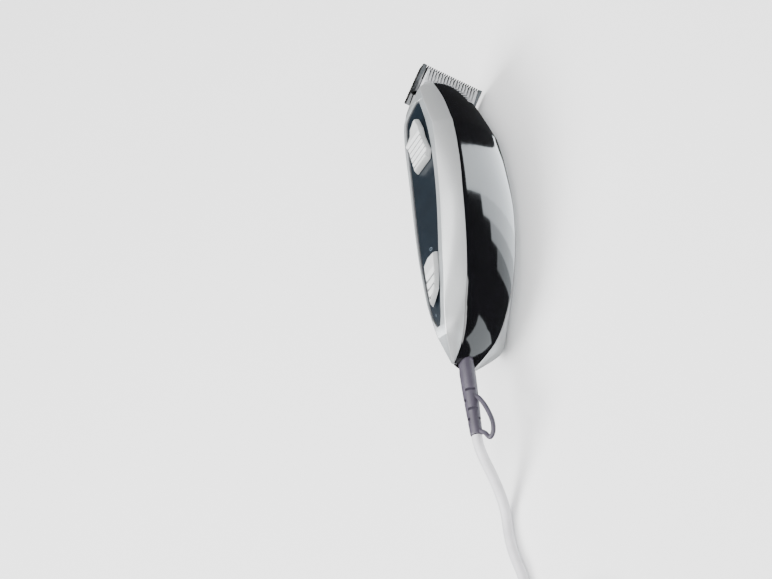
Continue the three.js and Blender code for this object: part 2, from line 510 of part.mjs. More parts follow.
// ---- mains cord: off the relief, down to the table and along it to a tied hank, then its plug ----
const TABLE = -HALF_WIDTH;
const CORD_LOW = TABLE + CORD_D / 2 + 0.1;
const LANE_W = HANK.w - HANK.fold;       // where the cord runs into and out of the hank
const CORD_ROUTE = [[RELIEF.end - 0.4, RELIEF.w, 0], [-48, 0.4, -0.8], [-54, -0.2, -4.0], [-60, -1.3, -9.2],
  [-66, -2.8, -14.4], [-72, -4.3, -18.6], [-78, -5.6, -21.1], [-85, -6.4, -22.1], [-93, -6.2, CORD_LOW],
  [-103, -4.6, CORD_LOW], [-113, -2, CORD_LOW], [-123, -0.9, CORD_LOW], [-133, -1.6, CORD_LOW],
  [-144, -4.2, CORD_LOW + 0.4], [-151.5, -5.9, CORD_LOW + 0.8]];
const TAIL_ROUTE = [[-242, -3.4, -12.4], [-250, 0, -15.2], [-260, 4.6, -17.4], [-270, 7.6, -18.1],
  [-277.4, 8.6, -18.1]];
const CORD_SIDES = 10;
addMesh('cord', tube(CORD_ROUTE, CORD_D / 2, CORD_SIDES, 22), CORD);
addMesh('cord_tail', tube(TAIL_ROUTE, CORD_D / 2, CORD_SIDES, 6), CORD);

// A racetrack outline about the hank's middle, with round ends of the given radius.
function racetrack(shape, radius) {
  const half = HANK.run / 2;
  shape.absarc(half, 0, radius, -Math.PI / 2, Math.PI / 2);
  shape.absarc(-half, 0, radius, Math.PI / 2, 3 * Math.PI / 2);
  shape.closePath();
  return shape;
}
const hankShape = racetrack(new THREE.Shape(), HANK.outer);
hankShape.holes.push(racetrack(new THREE.Path(), HANK.inner));
const hankSolid = new THREE.ExtrudeGeometry(hankShape,
  { depth: HANK.high, bevelEnabled: false, curveSegments: 12 });
addMesh('cord_hank', hankSolid.translate(HANK.u, -HANK.w, TABLE + HANK.low), CORD);
const TIE = { half: 4, thick: 0.7 };
const tieAround = (grow) => [HANK.w - HANK.outer - grow, HANK.w - HANK.inner + grow, TABLE + HANK.low - grow,
  TABLE + HANK.low + HANK.high + grow];
const tieBand = box(HANK.u - TIE.half, HANK.u + TIE.half, ...tieAround(GAP + TIE.thick));
const tieRoom = box(HANK.u - 2 * TIE.half, HANK.u + 2 * TIE.half, ...tieAround(GAP));
addMesh('cord_tie', cut(tieBand, tieRoom), RUBBER);

const PLUG = { u: -278, length: 36, half: 17.6, thick: 13.7, relief: 17, neck: 6, cheek: 13, taper: 12, w: 8.6 };
const PIN = { r: 2, length: 19, apart: 18.6 };
const PLUG_MID = TABLE + 0.1 + PLUG.thick / 2;
const plugFront = PLUG.u - PLUG.relief - PLUG.length;
const plugShoulder = PLUG.u - PLUG.relief;
const plugOutline = [[plugShoulder, -PLUG.neck], [plugShoulder, PLUG.neck],
  [plugShoulder - PLUG.taper, PLUG.cheek], [plugFront, PLUG.half], [plugFront, -PLUG.half],
  [plugShoulder - PLUG.taper, -PLUG.cheek]];
const plugShape = new THREE.Shape(plugOutline.map(([u, w]) => new THREE.Vector2(u, w)));
const plugBlock = new THREE.ExtrudeGeometry(plugShape, { depth: PLUG.thick, bevelEnabled: false })
  .translate(0, -PLUG.w, TABLE + 0.1);
const plugRelief = new THREE.CylinderGeometry(3.6, 5.4, PLUG.relief + 0.6, 12).rotateZ(-Math.PI / 2)
  .translate(PLUG.u - PLUG.relief / 2 - 0.3, -PLUG.w, PLUG_MID);
addMesh('plug_body', join(plugBlock, plugRelief), CORD);
[-1, 1].forEach((side, k) => {
  const w = PLUG.w + side * PIN.apart / 2;
  const pin = rodAlongU(w, PLUG_MID, PIN.r, plugFront - GAP - PIN.length, plugFront - GAP, 12);
  addMesh(`plug_pin_${k + 1}`, pin, STEEL);
});

export default group;
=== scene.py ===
"""The looks of a corded hair clipper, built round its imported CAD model.

Sizes are millimetres until mesh() scales them.
"""
import math

import bmesh
import bpy
from mathutils import Matrix, Vector
from mathutils.geometry import intersect_point_line


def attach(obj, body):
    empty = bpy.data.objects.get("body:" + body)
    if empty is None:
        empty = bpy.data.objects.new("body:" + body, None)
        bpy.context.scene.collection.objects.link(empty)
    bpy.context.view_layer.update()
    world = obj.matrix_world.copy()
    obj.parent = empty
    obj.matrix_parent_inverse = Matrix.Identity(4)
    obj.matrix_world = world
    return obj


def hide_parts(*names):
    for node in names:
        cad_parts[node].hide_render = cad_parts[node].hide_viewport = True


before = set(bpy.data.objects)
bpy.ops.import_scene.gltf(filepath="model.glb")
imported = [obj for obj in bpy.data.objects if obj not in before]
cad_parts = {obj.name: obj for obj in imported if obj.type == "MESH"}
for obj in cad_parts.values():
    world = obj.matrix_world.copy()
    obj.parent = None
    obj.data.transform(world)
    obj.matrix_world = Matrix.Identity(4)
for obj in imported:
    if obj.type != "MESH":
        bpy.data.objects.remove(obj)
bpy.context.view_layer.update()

MM = 0.001
HALF_WIDTH = 25.0
CENTRE_X = 58.65
CENTRE_W = 14.6
ORIGIN = Vector((-CENTRE_X, CENTRE_W, HALF_WIDTH))


def place(u, w, s):
    """A point u along the body, w towards the back and s towards the left side, in row millimetres."""
    return Vector((u - CENTRE_X, CENTRE_W - w, s + HALF_WIDTH))


# ---------------------------------------------------------------- camera
VIEW_AZIMUTH = math.radians(-43.2)
VIEW_ELEVATION = math.radians(40.55)
VIEW_ROLL = math.radians(-66.5)
VIEW_DISTANCE = 2.5
VIEW_WIDTH = 0.3884
AIM = Vector((-0.02226, 0.02637, 0.06419))


def make_camera():
    data = bpy.data.cameras.new("camera")
    camera = bpy.data.objects.new("camera", data)
    bpy.context.scene.collection.objects.link(camera)
    toward = Vector((math.cos(VIEW_ELEVATION) * math.sin(VIEW_AZIMUTH),
                     -math.cos(VIEW_ELEVATION) * math.cos(VIEW_AZIMUTH), math.sin(VIEW_ELEVATION)))
    level_right = Vector((0, 0, 1)).cross(toward).normalized()
    level_up = toward.cross(level_right)
    right = math.cos(VIEW_ROLL) * level_right + math.sin(VIEW_ROLL) * level_up
    up = toward.cross(right)
    turn = Matrix((right, up, toward)).transposed().to_4x4()
    camera.matrix_world = Matrix.Translation(AIM + toward * VIEW_DISTANCE) @ turn
    data.sensor_width = 36
    data.lens = data.sensor_width * VIEW_DISTANCE / VIEW_WIDTH
    data.clip_end = 20
    bpy.context.scene.camera = camera


make_camera()


# ---------------------------------------------------------------- materials
class Paint:
    """A node material: a Principled shader whose colour, roughness and bump come from procedural noise."""

    def __init__(self, name, roughness=0.4, metallic=0.0, **sockets):
        self.material = bpy.data.materials.new(name)
        self.material.use_nodes = True
        self.tree = self.material.node_tree
        self.shader = self.tree.nodes["Principled BSDF"]
        self.shader.inputs["Roughness"].default_value = roughness
        self.shader.inputs["Metallic"].default_value = metallic
        for socket, value in sockets.items():
            self.shader.inputs[socket.replace("_", " ")].default_value = value
        self.at = self.tree.nodes.new("ShaderNodeTexCoord").outputs["Object"]

    def link(self, a, b):
        self.tree.links.new(a, b)

    def noise(self, scale, detail=3.0, stretch=(1, 1, 1)):
        mapping = self.tree.nodes.new("ShaderNodeMapping")
        mapping.inputs["Scale"].default_value = stretch
        self.link(self.at, mapping.inputs["Vector"])
        node = self.tree.nodes.new("ShaderNodeTexNoise")
        node.inputs["Scale"].default_value = scale
        node.inputs["Detail"].default_value = detail
        self.link(mapping.outputs["Vector"], node.inputs["Vector"])
        return node.outputs["Fac"]

    def ramp(self, value, stops):
        node = self.tree.nodes.new("ShaderNodeValToRGB")
        self.link(value, node.inputs["Fac"])
        ramp = node.color_ramp
        while len(ramp.elements) < len(stops):
            ramp.elements.new(0.5)
        for element, (position, colour) in zip(ramp.elements, stops):
            element.position = position
            element.color = (*colour, 1)
        return node.outputs["Color"]

    def colour(self, value, stops):
        self.link(self.ramp(value, stops), self.shader.inputs["Base Color"])
        return self

    def rough(self, value, low, high):
        node = self.tree.nodes.new("ShaderNodeMapRange")
        node.inputs["To Min"].default_value = low
        node.inputs["To Max"].default_value = high
        self.link(value, node.inputs["Value"])
        self.link(node.outputs["Result"], self.shader.inputs["Roughness"])
        return self

    def bump(self, value, strength, distance):
        node = self.tree.nodes.new("ShaderNodeBump")
        node.inputs["Strength"].default_value = strength
        node.inputs["Distance"].default_value = distance
        self.link(value, node.inputs["Height"])
        self.link(node.outputs["Normal"], self.shader.inputs["Normal"])
        return self


def around(colour, spread):
    """Two colours a little darker and lighter than the given one."""
    return [(0.3, tuple(c * (1 - spread) for c in colour)),
            (0.7, tuple(min(1, c * (1 + spread)) for c in colour))]


def gloss_black():
    paint = Paint("gloss_black", 0.07, Coat_Weight=1.0, Coat_Roughness=0.03, IOR=1.9)
    paint.colour(paint.noise(60), around((0.002, 0.002, 0.003), 0.35))
    paint.rough(paint.noise(300, 5), 0.05, 0.12)
    return paint.bump(paint.noise(120, 2), 0.02, 0.0002).material


def silver_lacquer():
    paint = Paint("silver_lacquer", 0.34, 0.55, Coat_Weight=0.5, Coat_Roughness=0.12)
    paint.colour(paint.noise(2500, 2), around((0.60, 0.615, 0.62), 0.05))
    paint.rough(paint.noise(140, 4), 0.3, 0.4)
    return paint.bump(paint.noise(3500, 2), 0.05, 0.00005).material


# A darker, less metallic copy of the silver lacquer: painted shade on the flat rim round each side panel.
def rim_painted_shade():
    paint = Paint("rim_painted_shade", 0.4, 0.35)
    paint.colour(paint.noise(900, 3), around((0.33, 0.35, 0.36), 0.05))
    return paint.rough(paint.noise(200, 4), 0.34, 0.46).material


def navy_satin():
    paint = Paint("navy_satin", 0.3, Coat_Weight=0.35, Coat_Roughness=0.2)
    paint.colour(paint.noise(80, 3), around((0.0045, 0.0085, 0.0135), 0.2))
    paint.rough(paint.noise(500, 4), 0.26, 0.36)
    return paint.bump(paint.noise(2600, 2), 0.08, 0.00004).material


def slider_silver():
    paint = Paint("slider_silver", 0.42, 0.3)
    paint.colour(paint.noise(1500, 3), around((0.62, 0.63, 0.63), 0.05))
    return paint.bump(paint.noise(3000, 2), 0.1, 0.00005).material


def ground_steel(name="ground_steel", stretch=(30, 30, 1), tone=0.56, metal=1.0):
    paint = Paint(name, 0.2, metal, Anisotropic=0.4)
    grain = paint.noise(160, 4, stretch)
    paint.colour(grain, around((tone, tone * 1.01, tone * 1.03), 0.12))
    paint.rough(grain, 0.14, 0.32)
    return paint.bump(grain, 0.08, 0.00004).material


def moulded(name, colour, roughness=0.5, spread=0.12, grain=1800):
    paint = Paint(name, roughness)
    paint.colour(paint.noise(110, 4), around(colour, spread))
    paint.rough(paint.noise(400, 3), roughness - 0.06, roughness + 0.08)
    return paint.bump(paint.noise(grain, 3), 0.12, 0.00006).material


def winding_copper():
    paint = Paint("winding_copper", 0.3, 0.9)
    wave = paint.tree.nodes.new("ShaderNodeTexWave")
    wave.bands_direction = "X"
    wave.inputs["Scale"].default_value = 900
    paint.link(paint.at, wave.inputs["Vector"])
    paint.colour(wave.outputs["Fac"], around((0.6, 0.22, 0.07), 0.4))
    return paint.bump(wave.outputs["Fac"], 0.6, 0.0002).material


def laminated_iron():
    paint = Paint("laminated_iron", 0.45, 0.8)
    wave = paint.tree.nodes.new("ShaderNodeTexWave")
    wave.bands_direction = "Y"
    wave.inputs["Scale"].default_value = 500
    paint.link(paint.at, wave.inputs["Vector"])
    paint.colour(wave.outputs["Fac"], around((0.2, 0.2, 0.21), 0.3))
    return paint.bump(wave.outputs["Fac"], 0.4, 0.0002).material


BLACK = gloss_black()
SILVER = silver_lacquer()
RIM_PAINTED_SHADE = rim_painted_shade()
NAVY = navy_satin()
BUTTON = slider_silver()
STEEL = ground_steel()
# the cutter: steel's own pale tone, made far lighter and less metallic than the other steel as painted sheen
# on its teeth
CUTTER_STEEL_SHEEN = ground_steel("cutter_steel_painted_sheen", (1, 1, 30), 0.86, 0.45)
DARK_STEEL = ground_steel("dark_steel", (20, 20, 1), 0.16)
NYLON = moulded("nylon_white", (0.62, 0.6, 0.54))
DARK_PLASTIC = moulded("dark_plastic", (0.014, 0.014, 0.018), 0.42)
RELIEF = moulded("relief_rubber", (0.060, 0.053, 0.072), 0.42, 0.18)
JACKET = moulded("cord_jacket", (0.62, 0.61, 0.635), 0.42, 0.06)
MARK = moulded("mark_grey", (0.10, 0.13, 0.16), 0.5)
BLUE_LEAD = moulded("blue_lead", (0.03, 0.12, 0.5), 0.4)
BROWN_LEAD = moulded("brown_lead", (0.16, 0.06, 0.02), 0.4)
# a dark grey for the grooves of the sliders: painted shade in the grooves between the ridges
GROOVE_PAINTED_SHADE = moulded("slider_groove_shade", (0.17, 0.175, 0.18), 0.5)
COPPER = winding_copper()
IRON = laminated_iron()


# ---------------------------------------------------------------- mesh helpers
def mesh(name, vertices, faces, materials, body="housing", slot="housing_black", indices=None, smooth=30.0):
    """A piece from millimetre vertices, welded, facing out and smooth up to an angle."""
    data = bpy.data.meshes.new(name)
    data.from_pydata([tuple(Vector(v) * MM) for v in vertices], [], faces)
    for material in materials:
        data.materials.append(material)
    if indices is not None:
        data.polygons.foreach_set("material_index", indices)
    work = bmesh.new()
    work.from_mesh(data)
    bmesh.ops.remove_doubles(work, verts=work.verts, dist=1e-6)
    bmesh.ops.dissolve_degenerate(work, dist=1e-7, edges=work.edges)
    bmesh.ops.recalc_face_normals(work, faces=work.faces)
    finish_shading(work, smooth)
    work.to_mesh(data)
    work.free()
    piece = bpy.data.objects.new(name, data)
    bpy.context.scene.collection.objects.link(piece)
    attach(piece, body)
    return piece


def finish_shading(work, angle):
    for face in work.faces:
        face.smooth = True
    limit = math.radians(angle)
    for edge in work.edges:
        edge.smooth = len(edge.link_faces) == 2 and edge.calc_face_angle(0) < limit


def rings_to_faces(rings, closed=True, caps=True):
    """Vertices and faces of a body through rings of equal length, with fan-free end caps."""
    count = len(rings[0])
    vertices = [point for ring in rings for point in ring]
    faces = []
    around_count = count if closed else count - 1
    for i in range(len(rings) - 1):
        for j in range(around_count):
            a, b = i * count + j, i * count + (j + 1) % count
            faces.append((a, b, b + count, a + count))
    if caps:
        faces.append(tuple(reversed(range(count))))
        faces.append(tuple(range((len(rings) - 1) * count, len(rings) * count)))
    return vertices, faces


def through(points, corners=()):
    """A smooth curve w(u) through a few points, broken in slope at the corners."""
    last = len(points) - 1

    def slope(i, side):
        before, after = points[max(i - 1, 0)], points[min(i + 1, last)]
        if points[i][0] in corners:
            before, after = (points[i - 1], points[i]) if side < 0 else (points[i], points[i + 1])
        return (after[1] - before[1]) / (after[0] - before[0])

    def value(u):
        at = min(max(u, points[0][0]), points[last][0])
        i = 0
        while i < last - 1 and at > points[i + 1][0]:
            i += 1
        (u0, w0), (u1, w1) = points[i], points[i + 1]
        h, t = u1 - u0, (at - u0) / (u1 - u0)
        return (w0 * (1 + 2 * t) * (1 - t) ** 2 + slope(i, 1) * h * t * (1 - t) ** 2
                + w1 * t * t * (3 - 2 * t) + slope(i + 1, -1) * h * t * t * (t - 1))

    return value


def smooth_route(points, step):
    """A centripetal curve through points, sampled about every step millimetres."""
    points = [Vector(p) for p in points]
    points = [2 * points[0] - points[1], *points, 2 * points[-1] - points[-2]]
    out = []
    for i in range(1, len(points) - 2):
        p0, p1, p2, p3 = points[i - 1:i + 3]
        t0 = 0.0
        t1 = t0 + (p1 - p0).length ** 0.5
        t2 = t1 + (p2 - p1).length ** 0.5
        t3 = t2 + (p3 - p2).length ** 0.5
        count = max(1, round((p2 - p1).length / step))
        for k in range(count):
            t = t1 + (t2 - t1) * k / count
            a1 = p0 * ((t1 - t) / (t1 - t0)) + p1 * ((t - t0) / (t1 - t0))
            a2 = p1 * ((t2 - t) / (t2 - t1)) + p2 * ((t - t1) / (t2 - t1))
            a3 = p2 * ((t3 - t) / (t3 - t2)) + p3 * ((t - t2) / (t3 - t2))
            b1 = a1 * ((t2 - t) / (t2 - t0)) + a2 * ((t - t0) / (t2 - t0))
            b2 = a2 * ((t3 - t) / (t3 - t1)) + a3 * ((t - t1) / (t3 - t1))
            out.append(b1 * ((t2 - t) / (t2 - t1)) + b2 * ((t - t1) / (t2 - t1)))
    out.append(points[-2])
    return out


def sweep(path, radius, sides, start=Vector((0, 0, 1))):
    """Rings along a path. radius(angle, share) gives the section; the frame turns as little as it can."""
    rings = []
    normal = start
    for k, point in enumerate(path):
        ahead, behind = path[min(k + 1, len(path) - 1)], path[max(k - 1, 0)]
        along = (ahead - behind).normalized()
        normal = (normal - along * normal.dot(along)).normalized()
        across = along.cross(normal)
        share = k / (len(path) - 1)
        ring = []
        for j in range(sides):
            angle = 2 * math.pi * j / sides
            r = radius(angle, share)
            ring.append(point + normal * (r * math.cos(angle)) + across * (r * math.sin(angle)))
        rings.append(ring)
    return rings


# ---------------------------------------------------------------- mains cord
CORD_D = 5.4
RELIEF_END = -42.0
TABLE = -HALF_WIDTH
CORD_LOW = TABLE + CORD_D / 2 + 0.1
HANK_U, HANK_W, HANK_RUN = -195.2, 15.0, 52.5
HANK_LOW = CORD_LOW + 1.0
FOLD = 3 * CORD_D            # radius of the inner turns at the folds
LANE_W = HANK_W - FOLD - CORD_D
PLUG_W = 8.6
PLUG_AXIS = -18.1
CORD_ROUTE = [
    (RELIEF_END - 0.4, 0.5, 0), (-48, 0.4, -0.8), (-54, -0.2, -4.0), (-60, -1.3, -9.2), (-66, -2.8, -14.4),
    (-72, -4.3, -18.6), (-78, -5.6, -21.1), (-85, -6.4, -22.1), (-93, -6.2, CORD_LOW), (-103, -4.6, CORD_LOW),
    (-113, -2, CORD_LOW), (-123, -0.9, CORD_LOW), (-133, -1.6, CORD_LOW), (-144, -4.2, CORD_LOW + 0.4),
    (-155, -6.4, CORD_LOW + 0.9), (-168, LANE_W, HANK_LOW), (-182, LANE_W, HANK_LOW)]
TAIL_ROUTE = [(-208, LANE_W, -5.4), (-219, LANE_W + 0.1, -6.0), (-230, -5.8, -8.3), (-242, -3.4, -12.4),
              (-250, 0, -15.2), (-260, 4.6, -17.4), (-270, 7.6, PLUG_AXIS), (-278, PLUG_W, PLUG_AXIS)]
# the places of the turns as (columns out, layers up), in winding order: each is held from far run to far run
PLACES = [(1, 0), (0, 0), (0, 1), (1, 1), (1, 2), (0, 2), (0, 3), (1, 3)]
PACKING = CORD_D - 0.1
CROSSING_SPREAD = (0.1, 0.5)  # how much further apart the turns lie, out and up, where they change places


def racetrack(distance, radius):
    """A point of a racetrack at a share of its way round, from the middle of the run the cord comes in on."""
    half, bend = HANK_RUN / 2, math.pi * (FOLD + CORD_D / 2)
    whole = 2 * HANK_RUN + 2 * bend
    d = distance * whole
    if d < half:
        return HANK_U - d, HANK_W - radius
    if d < half + bend:
        angle = math.pi * (d - half) / bend
        return HANK_U - half - radius * math.sin(angle), HANK_W - radius * math.cos(angle)
    if d < half + bend + HANK_RUN:
        return HANK_U - half + d - half - bend, HANK_W + radius
    if d < half + 2 * bend + HANK_RUN:
        angle = math.pi * (d - half - bend - HANK_RUN) / bend
        return HANK_U + half + radius * math.sin(angle), HANK_W + radius * math.cos(angle)
    return HANK_U + whole - d, HANK_W - radius


def hank_points():
    """The turns of the hank. All of them change places on the far run, where the hank bulges a little."""
    points = []
    run_share = HANK_RUN / (2 * HANK_RUN + 2 * math.pi * (FOLD + CORD_D / 2))
    steps = 44
    for turn in range(len(PLACES) - 1):
        here, after = PLACES[turn], PLACES[turn + 1]
        for step in range(steps):
            distance = step / steps
            moved = min(1.0, max(0.0, (distance - 0.5) / run_share + 0.5))
            moved = moved * moved * (3 - 2 * moved)
            bulge = 4 * moved * (1 - moved)
            column = here[0] + (after[0] - here[0]) * moved
            layer = here[1] + (after[1] - here[1]) * moved
            radius = FOLD + PACKING * column * (1 + CROSSING_SPREAD[0] * bulge)
            height = HANK_LOW + PACKING * layer * (1 + CROSSING_SPREAD[1] * bulge)
            u, w = racetrack(distance, radius)
            points.append(place(u, w, height))
    return points


# the two grooves along the jacket: width in radians, and depth as a share of its radius
GROOVE_WIDTH, GROOVE_DEPTH = 0.28, 0.09
CORD_SIDES, CORD_STEP = 20, 2.6


def make_cord():
    lead_in = [place(*p) for p in CORD_ROUTE]
    tail = [place(*p) for p in TAIL_ROUTE]
    top_run = place(HANK_U, LANE_W, HANK_LOW + 3 * PACKING)
    path = smooth_route([*lead_in, *hank_points(), top_run, *tail], CORD_STEP)

    def section(angle, share):
        grooves = [math.exp(-((angle - math.pi * turn) / GROOVE_WIDTH) ** 2) for turn in (0.5, 1.5)]
        return CORD_D / 2 * (1 - GROOVE_DEPTH * (grooves[0] + grooves[1]))

    vertices, faces = rings_to_faces(sweep(path, section, CORD_SIDES))
    cord = mesh("mains_cord", vertices, faces, [JACKET], slot="cord_jacket", smooth=60)
    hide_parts("cord", "cord_tail", "cord_hank")
    return cord, [tuple(p * MM) for p in path]


TIE_CORNER, TIE_ROOM = 2.2, 0.35
TIE_PROFILE = ((-4, 0), (-3.6, 0.3), (3.6, 0.3), (4, 0), (4, -0.25), (-4, -0.25))


def make_tie():
    """A band round one run of the hank."""
    w0, w1 = LANE_W - CORD_D / 2 - TIE_ROOM, HANK_W - FOLD + CORD_D / 2 + TIE_ROOM
    s0, s1 = HANK_LOW - CORD_D / 2 - TIE_ROOM, HANK_LOW + 3 * PACKING + CORD_D / 2 + TIE_ROOM
    rings = []
    for du, grow in TIE_PROFILE:
        ring = []
        for w, s, start in ((w1, s1, 0), (w0, s1, 90), (w0, s0, 180), (w1, s0, 270)):
            for k in range(7):
                angle = math.radians(start + 15 * k)
                centre_w = w - TIE_CORNER if w == w1 else w + TIE_CORNER
                centre_s = s - TIE_CORNER if s == s1 else s + TIE_CORNER
                reach = TIE_CORNER + grow
                ring.append(place(HANK_U + du, centre_w + reach * math.cos(angle),
                                  centre_s + reach * math.sin(angle)))
        rings.append(ring)
    rings.append(rings[0])
    vertices, faces = rings_to_faces(rings, caps=False)
    tie = mesh("cord_band", vertices, faces, [RELIEF], slot="relief_rubber", smooth=30)
    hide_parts("cord_tie")
    return tie


cord, cord_path = make_cord()
tie = make_tie()


# ---------------------------------------------------------------- outer form of the housing
CREASE_U = 126.0
BLADE_ANGLE = math.radians(44)
FRONT_ANGLE = math.radians(48.6)
BLADE_TIP_U, BLADE_TIP_W = 165.0, 18.9
WALL = 2.2
PART_LINE = 0.25
PANEL_SINK, PANEL_THICK = 0.9, 1.4
COVER_SETBACK = 3.2
TAIL_U, NOSE_U, BODY_STEP = -1, 166, 2.2
FRONT_FOOT = (142, -1.6)      # u and w of the front plane's lower edge
RELIEF_BORE, BORE_SIDES = 4.3, 40
HOUSING_SHADE = 12            # degrees up to which a housing edge is drawn smooth
COVER_STEPS = 26
SIDE_ROOM = 0.25              # between the panel and its pocket
BLADE_OPENING = (20.7, -17, 3, -4.1, 6)

back_edge = through([(-1, -1.2), (4.2, 6.3), (10.9, 12.4), (22.4, 18.2), (38, 24), (62, 28.8), (89, 31.2),
                     (111, 30.8), (CREASE_U, 29.2), (144, 23.2), (158, 17), (166, 13)], corners=(CREASE_U,))
back_half = through([(-1, 7), (4.2, 9.2), (10.9, 12), (22.4, 14.7), (48, 17.6), (80, 19), (103, 18),
                     (128, 16.5), (144, 14.4), (158, 14), (166, 13.8)])
belly_edge = through([(-1, -2.4), (15, -2), (80, -2.6), (139, -1.8), (166, -1.6)])
belly_half = through([(-1, 6.5), (10.9, 12), (30, 16), (80, 19), (120, 18.5), (145, 17), (166, 16)])
rim_back = through([(-1, -1.5), (5.6, 5.0), (10.5, 8.2), (18.9, 10.6), (39.8, 15.2), (66.8, 18.9), (87.6, 21),
                    (113, 22.2), (CREASE_U, 21.5), (147.2, 15.2), (166, 9.5)], corners=(CREASE_U,))
rim_belly = through([(-1, -2.1), (9, 1.2), (27, 0.4), (65, 0.3), (104, 1.4), (134, 1.8), (142, 5.5),
                     (150, 11.5), (166, 8.5)])
side_reach = through([(-1, 8), (4, 15), (9, 20.3), (20, 22.9), (45, 24.7), (60, 25.05), (100, 25.05),
                      (115, 24.7), (140, 22.6), (150, 21), (166, 17.5)])
crown = through([(-1, 1.2), (11, 2.8), (35, 3.7), (110, 3.7), (158, 2.5), (166, 2.1)])
belly_crown = through([(-1, 1.6), (8, 2.95), (130, 2.95), (166, 1.5)])
panel_back = through([(11.9, 4.4), (16.1, 6.4), (22.5, 8.2), (38.3, 11.3), (67, 15.6), (91, 18),
                      (112.7, 18.4), (129.4, 16.3), (145.4, 12.2)])
panel_belly = through([(11.9, 3.6), (18.6, 1.6), (27, 1.3), (65, 1.3), (103.6, 2.8), (130, 3.2), (136, 4.0),
                       (141.9, 8.3), (145.4, 11.6)])
PANEL_ENDS = (12.4, 144.8)


def side_half(u):
    return min(HALF_WIDTH, side_reach(u))


def inward(u, w, s, wall):
    middle = (back_edge(u) + belly_edge(u)) / 2
    reach = math.hypot(w - middle, s)
    keep = max(0.4, 1 - wall / reach)
    return middle + (w - middle) * keep, s * keep


def stations(low, high, step, *extra):
    count = round((high - low) / step)
    even = [low + (high - low) * k / count for k in range(count + 1)]
    return sorted({round(u, 4) for u in [*even, *extra] if low <= u <= high})


BODY_U = stations(TAIL_U, NOSE_U, BODY_STEP, 0.2, 0.9, 2.1, 4.4, CREASE_U - 0.35, CREASE_U, CREASE_U + 0.35,
                  *[end + d for end in PANEL_ENDS for d in (-0.05, 0.05)])


def trim_front(piece, setback):
    """Cuts a housing piece off at the slanting front plane and closes it."""
    normal = Vector((math.sin(FRONT_ANGLE), math.cos(FRONT_ANGLE), 0))
    point = place(FRONT_FOOT[0] - setback, FRONT_FOOT[1], 0) * MM
    cut_piece(piece, point, normal)


def cut_piece(piece, point, normal):
    work = bmesh.new()
    work.from_mesh(piece.data)
    everything = [*work.verts, *work.edges, *work.faces]
    found = bmesh.ops.bisect_plane(work, geom=everything, plane_co=point, plane_no=normal, clear_outer=True)
    rim = [e for e in found["geom_cut"] if isinstance(e, bmesh.types.BMEdge)]
    bmesh.ops.holes_fill(work, edges=rim, sides=0)
    bmesh.ops.recalc_face_normals(work, faces=work.faces)
    finish_shading(work, HOUSING_SHADE)
    work.to_mesh(piece.data)
    work.free()


def bore_relief(piece):
    """Opens the tail of a housing piece round the strain relief."""
    cutter_path = [place(-9, 0.5, 0), place(2, 0.5, 0), place(13, 0.5, 0)]
    vertices, faces = rings_to_faces(sweep(cutter_path, lambda angle, share: RELIEF_BORE, BORE_SIDES))
    subtract(piece, vertices, faces)


BOX_FACES = [(3, 2, 1, 0), (4, 5, 6, 7), (0, 1, 5, 4), (1, 2, 6, 5), (2, 3, 7, 6), (3, 0, 4, 7)]


def subtract(piece, vertices, faces):
    data = bpy.data.meshes.new("tool")
    data.from_pydata([tuple(Vector(v) * MM) for v in vertices], [], faces)
    work = bmesh.new()
    work.from_mesh(data)
    bmesh.ops.recalc_face_normals(work, faces=work.faces)
    work.to_mesh(data)
    work.free()
    tool = bpy.data.objects.new("tool", data)
    bpy.context.scene.collection.objects.link(tool)
    modifier = piece.modifiers.new("cut", "BOOLEAN")
    modifier.operation = "DIFFERENCE"
    modifier.solver = "EXACT"
    modifier.use_self = True
    modifier.use_hole_tolerant = True
    modifier.object = tool
    bpy.context.view_layer.update()
    evaluated = piece.evaluated_get(bpy.context.evaluated_depsgraph_get())
    result = bpy.data.meshes.new_from_object(evaluated)
    piece.modifiers.clear()
    old = piece.data
    piece.data = result
    bpy.data.meshes.remove(old)
    bpy.data.objects.remove(tool)
    bpy.data.meshes.remove(data)
    work = bmesh.new()
    work.from_mesh(piece.data)
    finish_shading(work, HOUSING_SHADE)
    work.to_mesh(piece.data)
    work.free()


def bowed_cover(name, node, edge, half, bow, outwards, setback):
    rings = []
    for u in BODY_U:
        reach = half(u) - PART_LINE
        outer = []
        for k in range(COVER_STEPS + 1):
            s = reach * math.sin(math.pi / 2 * (1 - 2 * k / COVER_STEPS))
            fall = 0.35 * max(0.0, (abs(s) - reach + 0.8) / 0.8) ** 2
            outer.append((edge(u) + outwards * (bow(u) * (1 - (s / half(u)) ** 2) - fall), s))
        inner = [inward(u, w, s, WALL) for w, s in outer]
        rings.append([place(u, w, s) for w, s in [*outer, *reversed(inner)]])
    vertices, faces = rings_to_faces(rings)
    piece = mesh(name, vertices, faces, [BLACK], smooth=HOUSING_SHADE)
    trim_front(piece, setback)
    bore_relief(piece)
    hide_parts(node)
    return piece


